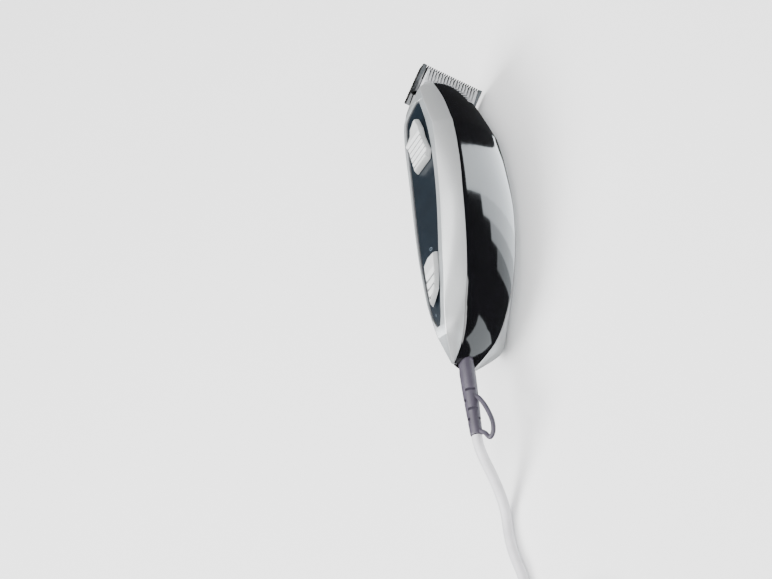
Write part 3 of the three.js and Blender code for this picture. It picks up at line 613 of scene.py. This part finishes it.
def side_frame(name, node, side):
    """A side frame: bevel, edge radius, rim, pocket for the panel and belly bevel, with its inner wall."""
    rings = []
    for u in BODY_U:
        reach = side_half(u)
        back = (back_edge(u), back_half(u))
        rim = (rim_back(u), reach)
        low = (rim_belly(u), reach)
        belly = (belly_edge(u), belly_half(u))
        outer = [(back[0] - 0.5, back[1] - 0.25), (back[0] - 0.12, back[1] + 0.1)]
        for t in (0.06, 0.2, 0.4, 0.6, 0.8, 0.95):
            bulge = 1.3 * 4 * t * (1 - t)
            along = (rim[0] - back[0], rim[1] - back[1])
            size = math.hypot(*along) or 1
            outer.append((back[0] + along[0] * t + bulge * along[1] / size * 0.55,
                          back[1] + along[1] * t - bulge * along[0] / size * 0.55))
        in_panel = PANEL_ENDS[0] < u < PANEL_ENDS[1]
        middle = (rim[0] + low[0]) / 2
        top = panel_back(u) + SIDE_ROOM if in_panel else middle + 0.01
        bottom = panel_belly(u) - SIDE_ROOM if in_panel else middle - 0.01
        depth = PANEL_SINK + PANEL_THICK + 0.2 if in_panel else 0.0
        dip = 0.45 if in_panel else 0.0
        outer += [(rim[0] + 0.12, rim[1] - 0.1), (rim[0] - 0.3, rim[1]), (top + 0.25, reach - dip * 0.4),
                  (top, reach - dip), (top, reach - depth), (bottom, reach - depth), (bottom, reach - dip),
                  (bottom - 0.25, reach - dip * 0.4), (low[0] + 0.3, low[1]), (low[0] - 0.15, low[1] - 0.15)]
        for t in (0.15, 0.4, 0.65, 0.9):
            outer.append((low[0] + (belly[0] - low[0]) * t - 0.5 * 4 * t * (1 - t),
                          low[1] + (belly[1] - low[1]) * t))
        outer.append(belly)
        walls = [WALL if abs(w - middle) > abs(rim[0] - middle) - 0.5 else 4.4 for w, s in outer]
        inner = [inward(u, w, min(s, reach), wall) for (w, s), wall in zip(outer, walls)]
        inner = [(w, min(s, reach - depth - 1.0) if in_panel else s) for w, s in inner]
        rings.append([place(u, w, side * s) for w, s in [*outer, *reversed(inner)]])
    vertices, faces = rings_to_faces(rings)
    # the flat rim round the panel pocket and the pocket's walls take the darker copy of the silver: painted
    # shade
    rim_shade_faces = {9, 10, 11, 14, 15, 16}
    count = len(rings[0])
    last = count * (len(rings) - 1)
    indices = [1 if (k % count) in rim_shade_faces and k < last else 0 for k in range(len(faces))]
    piece = mesh(name, vertices, faces, [SILVER, RIM_PAINTED_SHADE], slot="silver_shell", indices=indices,
                 smooth=HOUSING_SHADE)
    trim_front(piece, 0)
    subtract(piece, *blade_block(*BLADE_OPENING))
    bore_relief(piece)
    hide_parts(node)
    return piece


def blade_point(x, y, z):
    """A point of the blade set: x across, y towards the tips, z out of the skin side."""
    u = BLADE_TIP_U + y * math.cos(BLADE_ANGLE) + z * math.sin(BLADE_ANGLE)
    w = BLADE_TIP_W + y * math.sin(BLADE_ANGLE) - z * math.cos(BLADE_ANGLE)
    return place(u, w, x)


def blade_block(half, y0, y1, z0, z1, low=None):
    low = -half if low is None else low
    sides = ((low, y0), (half, y0), (half, y1), (low, y1))
    return [blade_point(x, y, z) for z in (z0, z1) for x, y in sides], BOX_FACES


def side_panel(name, node, side):
    rings = []
    for u in stations(*PANEL_ENDS, 1.6, PANEL_ENDS[0] + 0.3, PANEL_ENDS[1] - 0.3, CREASE_U):
        top = side_half(u) - PANEL_SINK
        bottom = top - PANEL_THICK
        back, belly = panel_back(u) - 0.05, panel_belly(u) + 0.05
        soft = min(0.35, (back - belly) / 4)
        points = [(back, bottom), (back, top - soft), (back - soft * 0.4, top - soft * 0.3)]
        points.append((back - soft, top))
        points += [(back + (belly - back) * t, top) for t in (0.25, 0.5, 0.75)]
        points += [(belly + soft, top), (belly + soft * 0.4, top - soft * 0.3), (belly, top - soft),
                   (belly, bottom)]
        rings.append([place(u, w, side * s) for w, s in points])
    vertices, faces = rings_to_faces(rings)
    piece = mesh(name, vertices, faces, [NAVY], slot="navy_panel", smooth=35)
    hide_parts(node)
    return piece


bowed_cover("back_cover", "rear_cover", back_edge, back_half, crown, 1, COVER_SETBACK)
bowed_cover("belly_cover", "belly_housing", belly_edge, belly_half, belly_crown, -1, 0)
left_frame = side_frame("side_frame_left", "left_side_frame", 1)
side_frame("side_frame_right", "right_side_frame", -1)
left_panel = side_panel("side_panel_left", "left_panel", 1)
side_panel("side_panel_right", "right_panel", -1)


# ---------------------------------------------------------------- blade set
BLADE_THICK, CUTTER_THICK, GAP = 1.7, 1.6, 0.3
CUTTER_FACE = -BLADE_THICK - GAP
CUTTER_BACK = CUTTER_FACE - CUTTER_THICK
BLADE_SCREWS = ((-12, -18.6), (12, -18.6))
TOOTH_SHARES = (0, 0.25, 0.5, 0.75, 0.92, 1.0)
TOOTH_HALF = 0.29             # half a tooth's width, as a share of the pitch
TOOTH_TAPER, TIP_ROUND = 0.3, 0.15
END_TAPER = 0.4               # how much of that taper an end tooth's outer side has
PLATE_CORNER = 0.15
HOLE_SIDES = 32


def comb(name, node, width, depth, tip, tooth, teeth, z_low, z_high, material, body, flat_face, end_tooth=0.0,
         holes=(), tip_thick=0.3, bevel_from=0.6):
    """A comb plate: its teeth narrow and thin down towards their tips, and the end teeth may be broader."""
    vertices, faces = [], []

    def prism(outline_low, outline_high):
        start = len(vertices)
        count = len(outline_low)
        vertices.extend(blade_point(*p) for p in outline_low)
        vertices.extend(blade_point(*p) for p in outline_high)
        faces.append(tuple(start + k for k in reversed(range(count))))
        faces.append(tuple(start + count + k for k in range(count)))
        for k in range(count):
            a, b = start + k, start + (k + 1) % count
            faces.append((a, b, b + count, a + count))

    half = width / 2
    root = tip - tooth
    cut = half - PLATE_CORNER
    outline = [(-cut, -depth), (cut, -depth), (half, -depth + PLATE_CORNER), (half, root + 0.05),
               (-half, root + 0.05), (-half, -depth + PLATE_CORNER)]
    prism([(x, y, z_low) for x, y in outline], [(x, y, z_high) for x, y in outline])
    pitch = width / teeth
    for k in range(teeth):
        centre = -half + pitch * (k + 0.5)
        wide = pitch * TOOTH_HALF
        low_x, high_x = centre - wide, centre + wide
        if k == 0:
            low_x = -half
            high_x = max(high_x, -half + end_tooth)
        if k == teeth - 1:
            high_x = half
            low_x = min(low_x, half - end_tooth)
        rings = []
        for share in TOOTH_SHARES:
            y = root + tooth * share
            narrow = TOOTH_TAPER * share + (TIP_ROUND if share == 1.0 else 0)
            x0 = low_x + (centre - low_x) * narrow * (END_TAPER if k == 0 else 1)
            x1 = high_x + (centre - high_x) * narrow * (END_TAPER if k == teeth - 1 else 1)
            bevel = max(0.0, (share - bevel_from) / (1 - bevel_from)) * (1 - tip_thick / (z_high - z_low))
            z0 = z_low + (z_high - z_low) * (bevel if flat_face == "high" else 0.0)
            z1 = z_high - (z_high - z_low) * (bevel if flat_face == "low" else 0.0)
            rings.append([blade_point(x, y, z) for x, z in ((x0, z0), (x1, z0), (x1, z1), (x0, z1))])
        tooth_vertices, tooth_faces = rings_to_faces(rings)
        start = len(vertices)
        vertices.extend(tooth_vertices)
        faces.extend(tuple(start + index for index in face) for face in tooth_faces)
    piece = mesh(name, vertices, faces, [material], body, "blade_steel", smooth=25)
    for x, y, low, high in holes:
        path = [blade_point(x, y, z_low - 0.2), blade_point(x, y, z_high + 0.2)]
        hole = sweep(path, lambda angle, share: low + (high - low) * share, HOLE_SIDES, Vector((1, 0, 0)))
        subtract(piece, *rings_to_faces(hole))
    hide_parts(node)
    return piece


comb("lower_blade", "fixed_blade", 44, 23, 0, 8, 28, -BLADE_THICK, 0, DARK_STEEL, "housing", "low", 2.2,
     [(x, y, 1.8, 3.7) for x, y in BLADE_SCREWS])
comb("upper_blade", "cutter", 37, 14.6, -1.4, 6.2, 17, CUTTER_BACK, CUTTER_FACE, CUTTER_STEEL_SHEEN, "cutter_body",
     "high", 1.8, tip_thick=0.5, bevel_from=0.0)


# ---------------------------------------------------------------- sliders
TAPER_OUTLINE = [(131.5, 13.4), (125.3, 15.5), (119.8, 16), (110, 18.7), (105.6, 17.2), (100.7, 7.7),
                 (115.3, 5.3), (117.7, 3.8), (122.3, 7.9), (126.1, 8.5), (130.1, 11.4)]
POWER_OUTLINE = [(51.4, 13), (44, 12.4), (37.1, 11.4), (31.1, 10.3), (27.3, 8.1), (22.6, 4.9), (33, 4.4),
                 (45.5, 4.3), (49.5, 7.6)]
RIDGE_LINE = Vector((8.7, 15.6)).normalized()
GROOVE_SHARE = 0.62           # share of each ridge's width before its groove
GRID_STEP = 0.3
SHOULDER, SHOULDER_DROP = 0.9, 0.6
RIDGE_INSET, RIDGE_FADE = 0.55, 0.5
GROOVE_INSET = 0.7
SHOULDER_INSETS = (0.12, 0.3, 0.6, SHOULDER)
SLIDER_SHADE = 28


def slider(name, nodes_stood_for, outline, bottom, top, body, ridges, pitch, first, depth):
    """A cap with rounded shoulders and ridges that run aslant across its top, from a fine grid."""
    corners = [Vector(p) for p in outline]
    across = Vector((-RIDGE_LINE.y, RIDGE_LINE.x))
    us = [c.x for c in corners]
    ws = [c.y for c in corners]

    def inside(point):
        odd = False
        for a, b in zip(corners, corners[1:] + corners[:1]):
            if (a.y > point.y) != (b.y > point.y):
                if point.x < a.x + (point.y - a.y) * (b.x - a.x) / (b.y - a.y):
                    odd = not odd
        return odd

    def edge_distance(point):
        best = 1e9
        for a, b in zip(corners, corners[1:] + corners[:1]):
            share = min(1, max(0, intersect_point_line(point.to_3d(), a.to_3d(), b.to_3d())[1]))
            best = min(best, (a + (b - a) * share - point).length)
        return best

    def inset_distance(point):
        return edge_distance(point) if inside(point) else 0.0

    def height(point):
        edge = inset_distance(point)
        shoulder = 1 - max(0.0, 1 - edge / SHOULDER) ** 2
        value = bottom + SHOULDER_DROP + (top - bottom - SHOULDER_DROP) * shoulder
        along = (point - corners[0]).dot(across)
        phase = (along - first) / pitch
        if 0 <= phase < ridges and edge > RIDGE_INSET:
            fall = phase % 1.0
            value -= depth * fall * min(1, (edge - RIDGE_INSET) / RIDGE_FADE)
        return value

    work = bmesh.new()
    loop = [work.verts.new((c.x, c.y, 0)) for c in corners]
    work.faces.new(loop)
    for axis, low, high in ((Vector((1, 0, 0)), min(us), max(us)), (Vector((0, 1, 0)), min(ws), max(ws))):
        at = low + GRID_STEP
        while at < high:
            geometry = [*work.verts, *work.edges, *work.faces]
            bmesh.ops.bisect_plane(work, geom=geometry, plane_co=axis * at, plane_no=axis)
            at += GRID_STEP
    for k in range(ridges + 1):
        for offset in (-0.02, 0.02):
            origin = corners[0] + across * (first + pitch * k + offset)
            geometry = [*work.verts, *work.edges, *work.faces]
            bmesh.ops.bisect_plane(work, geom=geometry, plane_co=origin.to_3d(), plane_no=across.to_3d())
    for inset in SHOULDER_INSETS:
        for a, b in zip(corners, corners[1:] + corners[:1]):
            side = (b - a).normalized()
            normal = Vector((-side.y, side.x))
            middle = (a + b) / 2
            if not inside(middle + normal * 0.2):
                normal = -normal
            reach = (b - a).length / 2 + 1.5
            near = [f for f in work.faces if (f.calc_center_median().to_2d() - middle).length < reach]
            geometry = list({g for f in near for g in (*f.verts, *f.edges, f)})
            bmesh.ops.bisect_plane(work, geom=geometry, plane_co=(a + normal * inset).to_3d(),
                                   plane_no=normal.to_3d())
    found = bmesh.ops.extrude_face_region(work, geom=list(work.faces))
    lifted = [g for g in found["geom"] if isinstance(g, bmesh.types.BMVert)]
    for vertex in lifted:
        vertex.co.z = height(vertex.co.to_2d())
    lifted_set = set(lifted)
    for vertex in work.verts:
        if vertex not in lifted_set:
            vertex.co.z = bottom
    for vertex in work.verts:
        vertex.co = place(*vertex.co) * MM
    bmesh.ops.recalc_face_normals(work, faces=work.faces)
    finish_shading(work, SLIDER_SHADE)
    data = bpy.data.meshes.new(name)
    work.to_mesh(data)
    work.free()
    data.materials.append(BUTTON)
    data.materials.append(GROOVE_PAINTED_SHADE)
    # faces down in the ridge grooves, away from the cap's edge, take the dark grey: painted shade
    for polygon in data.polygons:
        centre = polygon.center / MM - ORIGIN
        flat = Vector((centre.x, -centre.y))
        phase = ((flat - corners[0]).dot(across) - first) / pitch
        low = 0 <= phase < ridges and phase % 1.0 > GROOVE_SHARE
        groove_shaded = low and centre.z > bottom + 1 and inset_distance(flat) > GROOVE_INSET
        polygon.material_index = 1 if groove_shaded else 0
    piece = bpy.data.objects.new(name, data)
    bpy.context.scene.collection.objects.link(piece)
    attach(piece, body)
    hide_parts(*nodes_stood_for)
    return piece


def neck(name, u0, u1, w0, w1, low, high, body):
    corners = [place(u, w, s) for s in (low, high) for u, w in ((u0, w0), (u1, w0), (u1, w1), (u0, w1))]
    return mesh(name, corners, BOX_FACES, [DARK_PLASTIC], body, "silver_shell")


slider("taper_button", ["taper_slider"], TAPER_OUTLINE, 24.4, 28, "taper_control", 5, 2.9, 8.2, 0.75)
neck("taper_neck", 112, 120, 9.6, 12.8, 17, 24.3, "taper_control")
slider("power_button", ["power_slider"], POWER_OUTLINE, 24.3, 27.4, "power_control", 3, 4.2, 6.5, 0.9)
neck("power_neck", 36, 44, 6.6, 9.6, 17.6, 24.2, "power_control")


# ---------------------------------------------------------------- slots for the two controls
SLOT_SIDE = (14, 27)          # how far the slots reach, towards the left side


def slot_block(u0, u1, w0, w1):
    corners = [place(u, w, s) for s in SLOT_SIDE for u, w in ((u0, w0), (u1, w0), (u1, w1), (u0, w1))]
    return corners, BOX_FACES


TAPER_SLOT = (105.7, 120.3, 9.3, 13.1)
POWER_SLOT = (35.7, 48.8, 6.3, 9.9)
for housing_piece in (left_frame, left_panel):
    for opening in (TAPER_SLOT, POWER_SLOT):
        subtract(housing_piece, *slot_block(*opening))


# ---------------------------------------------------------------- marks beside the power control
def panel_mark(name, rings, u, w):
    """A flat mark a hair above the left panel, from outlines in (u, w) about its middle."""
    face_s = min(side_half(u) - PANEL_SINK, side_half(u + 2) - PANEL_SINK) + 0.02
    heights = (face_s - 0.25, face_s + 0.03)
    outlines = [[place(u + du, w + dw, s) for du, dw in ring] for s in heights for ring in rings]
    half = len(rings)
    vertices, faces = [], []
    for point_lists in (outlines[:half], outlines[half:]):
        for points in point_lists:
            vertices.extend(points)
    count = len(rings[0])
    if half == 1:
        faces += [tuple(reversed(range(count))), tuple(range(count, 2 * count))]
        faces += [(k, (k + 1) % count, (k + 1) % count + count, k + count) for k in range(count)]
    else:
        for k in range(count):
            n = (k + 1) % count
            faces += [(k, n, n + count, k + count),
                      (2 * count + k, 3 * count + k, 3 * count + n, 2 * count + n),
                      (k, k + 2 * count, n + 2 * count, n),
                      (count + k, count + n, 3 * count + n, 3 * count + k)]
    return mesh(name, vertices, faces, [MARK], slot="silver_shell", smooth=40)


def circle(radius, count=32):
    return [(radius * math.cos(2 * math.pi * k / count), radius * math.sin(2 * math.pi * k / count))
            for k in range(count)]


panel_mark("mark_off", [circle(0.95), circle(0.65)], 55.4, 8.6)
panel_mark("mark_on", [[(-1.0, -0.17), (1.0, -0.17), (1.0, 0.17), (-1.0, 0.17)]], 19.4, 3.9)


# ---------------------------------------------------------------- blade screws
def blade_disc(x, y, z, radius, count=40):
    return [blade_point(x + radius * math.cos(2 * math.pi * k / count),
                        y + radius * math.sin(2 * math.pi * k / count), z)
            for k in range(count)]


# (height, radius) up a blade screw, and the (half length, half width) of its cross slots
SCREW_PROFILE = [(-7, 1.2), (-6.8, 1.5), (-1.9, 1.5), (-1.85, 1.25), (-0.35, 2.95), (-0.12, 3.1), (-0.1, 2.9)]
SCREW_SLOTS = ((2.1, 0.35), (0.35, 2.1))
for number, (x, y) in enumerate(BLADE_SCREWS, 1):
    vertices, faces = rings_to_faces([blade_disc(x, y, z, radius) for z, radius in SCREW_PROFILE])
    screw = mesh(f"blade_screw_head_{number}", vertices, faces, [DARK_STEEL], slot="blade_steel", smooth=25)
    for long_x, long_y in SCREW_SLOTS:
        corners = [blade_point(x + sx * long_x, y + sy * long_y, z) for z in (-0.9, 0.2)
                   for sx, sy in ((-1, -1), (1, -1), (1, 1), (-1, 1))]
        subtract(screw, corners, BOX_FACES)
    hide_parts(f"blade_screw_{number}")


# ---------------------------------------------------------------- strain relief and hanging loop
RELIEF_ROOT, RELIEF_W = 12.0, 0.5
LOOP_ROUTE = [(-20, 1.5, 0), (-21.5, 4.6, 0), (-27, 8.0, 0), (-35, 11, 0), (-41, 12.1, 0), (-45.5, 11.2, 0),
              (-47.1, 9.1, 0), (-43.2, 6.1, 0), (-39.5, 2, 0)]
RELIEF_SLOTS = ((-17.0, 0), (-22.5, 1), (-28.0, 0), (-33.5, 1))
RELIEF_PROFILE = [(RELIEF_ROOT, 3.4), (RELIEF_ROOT - 0.4, 3.8), (2, 3.9), (-4, 4.0), (-6, 4.15), (-14, 4.05),
                  (-24, 3.75), (-34, 3.4), (-40.6, 3.15), (-41.6, 3.05), (-42.0, 2.8)]
RELIEF_SIDES = 40
SLOT_MIDDLE, SLOT_DEPTHS = 3.2, (-1.1, 1.6)
SLOT_HALF_ALONG, SLOT_HALF_ACROSS = 0.8, 2.6
LOOP_RADIUS, LOOP_SIDES, LOOP_STEP = 1.2, 18, 0.8


def make_relief():
    """A smooth tapering sleeve with short slots cut from alternate sides, and the hanging loop."""
    rings = []
    for u, radius in RELIEF_PROFILE:
        centre = place(u, RELIEF_W, 0)
        angles = [2 * math.pi * k / RELIEF_SIDES for k in range(RELIEF_SIDES)]
        rings.append([centre + Vector((0, radius * math.cos(a), radius * math.sin(a))) for a in angles])
    vertices, faces = rings_to_faces(rings)
    relief = mesh("relief_sleeve", vertices, faces, [RELIEF], slot="relief_rubber", smooth=30)
    for u, side in RELIEF_SLOTS:
        for angle in (45, -135):
            turn = math.radians(angle if side else angle + 90)
            outward = Vector((0, math.cos(turn), math.sin(turn)))
            across = Vector((0, -outward.z, outward.y))
            middle = place(u, RELIEF_W, 0) + outward * SLOT_MIDDLE
            corners = []
            for depth in SLOT_DEPTHS:
                for su, sa in ((-1, -1), (1, -1), (1, 1), (-1, 1)):
                    along = Vector((SLOT_HALF_ALONG * su, 0, 0))
                    corners.append(middle + outward * depth + along + across * (SLOT_HALF_ACROSS * sa))
            subtract(relief, corners, BOX_FACES)
    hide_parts("strain_relief")
    loop_path = smooth_route([place(*p) for p in LOOP_ROUTE], LOOP_STEP)
    vertices, faces = rings_to_faces(sweep(loop_path, lambda angle, share: LOOP_RADIUS, LOOP_SIDES))
    mesh("hanging_loop", vertices, faces, [RELIEF], slot="relief_rubber", smooth=60)


make_relief()


# ---------------------------------------------------------------- plug
PLUG_NECK_U, PLUG_RELIEF, PLUG_LENGTH = -278.0, 17.0, 36.0
PLUG_THICK = 13.7
PIN_HALF_GAP, PIN_SIDES = 9.3, 32
PLUG_MID = TABLE + 0.1 + PLUG_THICK / 2
PLUG_FRONT = PLUG_NECK_U - PLUG_RELIEF - PLUG_LENGTH


def rounded_ring(u, half_w, half_s, count=48, power=3.4):
    ring = []
    for k in range(count):
        angle = 2 * math.pi * k / count
        c, s = math.cos(angle), math.sin(angle)
        ring.append(place(u, PLUG_W + half_w * math.copysign(abs(c) ** (2 / power), c),
                          PLUG_MID + half_s * math.copysign(abs(s) ** (2 / power), s)))
    return ring


def make_plug():
    half_s = PLUG_THICK / 2
    stations_of_plug = [(0, 3.3, 3.3), (-2, 3.5, 3.5)]
    for k in range(5):
        start, grow = -2.7 * k, 0.2 * k
        for du, radius in ((-3.2, 3.7), (-4.4, 3.7), (-4.6, 3.1), (-5.7, 3.1)):
            stations_of_plug.append((start + du, radius + grow, radius + grow))
    stations_of_plug += [(-17.6, 6.0, 5.3), (-20.5, 8.6, 6.2), (-25, 11.4, half_s - 0.2), (-30, 13.2, half_s),
                         (-40, 15.4, half_s), (-50, 16.9, half_s), (-52.2, 17.3, half_s - 0.1),
                         (-52.8, 17.0, half_s - 0.5), (-53.0, 16.2, half_s - 1.2)]
    rings = [rounded_ring(PLUG_NECK_U + du, half_w, thick, power=2.0 if half_w < 5.6 else 3.4)
             for du, half_w, thick in stations_of_plug]
    vertices, faces = rings_to_faces(rings)
    plug = mesh("plug", vertices, faces, [JACKET], slot="cord_jacket", smooth=35)
    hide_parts("plug_body")
    made = [plug]
    for number, side in ((1, -1), (2, 1)):
        w = PLUG_W + side * PIN_HALF_GAP
        profile = [(PLUG_FRONT - 0.3, 2.0), (PLUG_FRONT - 17.6, 2.0), (PLUG_FRONT - 18.8, 1.6),
                   (PLUG_FRONT - 19.3, 0.9)]
        angles = [2 * math.pi * k / PIN_SIDES for k in range(PIN_SIDES)]
        rings = [[place(u, w + r * math.cos(a), PLUG_MID + r * math.sin(a)) for a in angles]
                 for u, r in profile]
        pin = mesh(f"pin_{number}", *rings_to_faces(rings), [STEEL], slot="blade_steel", smooth=35)
        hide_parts(f"plug_pin_{number}")
        made.append(pin)
    return made


plug_pieces = make_plug()


# ---------------------------------------------------------------- materials on the CAD's own pieces
PIECE_LOOKS = {
    "taper_cam": STEEL, "switch_fork": NYLON, "switch_body": DARK_PLASTIC, "cutter_guide": NYLON,
    "blade_mount": DARK_PLASTIC, "tension_spring": STEEL, "cutter_carriage": NYLON, "stator_core": IRON,
    "coil_bobbin": NYLON, "coil_winding": COPPER, "armature": IRON, "vibrating_arm": DARK_STEEL,
    "drive_finger": STEEL, "arm_pin": STEEL, "pivot_bracket": DARK_STEEL, "spring_outer": STEEL,
    "spring_inner": STEEL, "spring_post": NYLON, "terminal_block": NYLON, "lead_to_coil": BLUE_LEAD,
    "lead_to_switch": BROWN_LEAD, "cord_clamp": NYLON}
for number in range(1, 5):
    PIECE_LOOKS[f"housing_screw_{number}"] = STEEL
    PIECE_LOOKS[f"screw_pillar_{number}"] = NYLON
for node, material in PIECE_LOOKS.items():
    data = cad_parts[node].data
    data.materials.clear()
    data.materials.append(material)


# ---------------------------------------------------------------- table top, lights and surroundings
FLOOR_HALF = 3.0  # metres, as are all the places from here on


def make_floor():
    data = bpy.data.meshes.new("floor")
    corners = [(FLOOR_HALF * x, FLOOR_HALF * y, 0) for x, y in ((-1, -1), (1, -1), (1, 1), (-1, 1))]
    data.from_pydata(corners, [], [(0, 1, 2, 3)])
    paint = Paint("paper", 0.9)
    paint.colour(paint.noise(6), around((0.93, 0.93, 0.93), 0.01))
    data.materials.append(paint.material)
    floor = bpy.data.objects.new("floor", data)
    bpy.context.scene.collection.objects.link(floor)
    floor.visible_glossy = False
    floor.visible_shadow = False


def area_light(name, position, target, size, power, colour=(1, 1, 1)):
    data = bpy.data.lights.new(name, "AREA")
    data.shape = "RECTANGLE"
    data.size, data.size_y = size
    data.energy = power
    data.color = colour
    light = bpy.data.objects.new(name, data)
    bpy.context.scene.collection.objects.link(light)
    toward = Vector(target) - Vector(position)
    light.matrix_world = Matrix.Translation(position) @ toward.to_track_quat("-Z", "Y").to_matrix().to_4x4()
    return light


RIBBON_STEPS = 8
RIBBON_COLOUR = (0.84, 0.9, 0.94, 1)


def make_reflector(name, spans, turns, strength):
    """A pale ribbon under the table top, which only gloss shows: spans along x, turns about x in degrees."""
    vertices, faces = [], []
    for i in range(RIBBON_STEPS + 1):
        for j in range(RIBBON_STEPS + 1):
            along = spans[0] + (spans[1] - spans[0]) * i / RIBBON_STEPS
            turn = math.radians(turns[0] + (turns[1] - turns[0]) * j / RIBBON_STEPS)
            out = math.sqrt(1 - along * along)
            vertices.append((along, -out * math.cos(turn), -out * math.sin(turn)))
    for i in range(RIBBON_STEPS):
        for j in range(RIBBON_STEPS):
            a = i * (RIBBON_STEPS + 1) + j
            faces.append((a, a + 1, a + RIBBON_STEPS + 2, a + RIBBON_STEPS + 1))
    data = bpy.data.meshes.new(name)
    data.from_pydata(vertices, [], faces)
    material = bpy.data.materials.new(name)
    material.use_nodes = True
    tree = material.node_tree
    tree.nodes.clear()
    glow = tree.nodes.new("ShaderNodeEmission")
    glow.inputs["Color"].default_value = RIBBON_COLOUR
    glow.inputs["Strength"].default_value = strength
    output = tree.nodes.new("ShaderNodeOutputMaterial")
    tree.links.new(glow.outputs["Emission"], output.inputs["Surface"])
    data.materials.append(material)
    reflector = bpy.data.objects.new(name, data)
    bpy.context.scene.collection.objects.link(reflector)


# (spans, turns, strength) of each ribbon: those that the back cover shows, and last the cutter's
REFLECTORS = [((0.46, 0.66), (6, 95), 4.2), ((0.38, 0.46), (24, 95), 3.2), ((0.30, 0.38), (34, 95), 2.0),
              ((0.20, 0.30), (44, 95), 0.9), ((-0.8, -0.3), (20, 75), 1.5)]
# (name, place, target, size, watts) of each lamp
LAMPS = [("key", (-0.7, 0.9, 1.3), (0.02, 0, 0.02), (0.9, 0.9), 62),
         ("fill", (-0.9, -1.0, 1.0), (0.02, 0, 0.02), (1.6, 1.6), 30),
         ("top", (0.1, 0.0, 1.9), (0.0, 0, 0), (1.8, 1.8), 58)]
SKY_COLOUR = (0.9, 0.92, 0.95, 1)
SKY_STRENGTH = 0.05

make_floor()
for number, ribbon in enumerate(REFLECTORS, 1):
    make_reflector(f"reflector_{number}", *ribbon)
for lamp in LAMPS:
    area_light(*lamp)
world = bpy.data.worlds.new("world")
world.use_nodes = True
world.node_tree.nodes["Background"].inputs["Color"].default_value = SKY_COLOUR
world.node_tree.nodes["Background"].inputs["Strength"].default_value = SKY_STRENGTH
bpy.context.scene.world = world
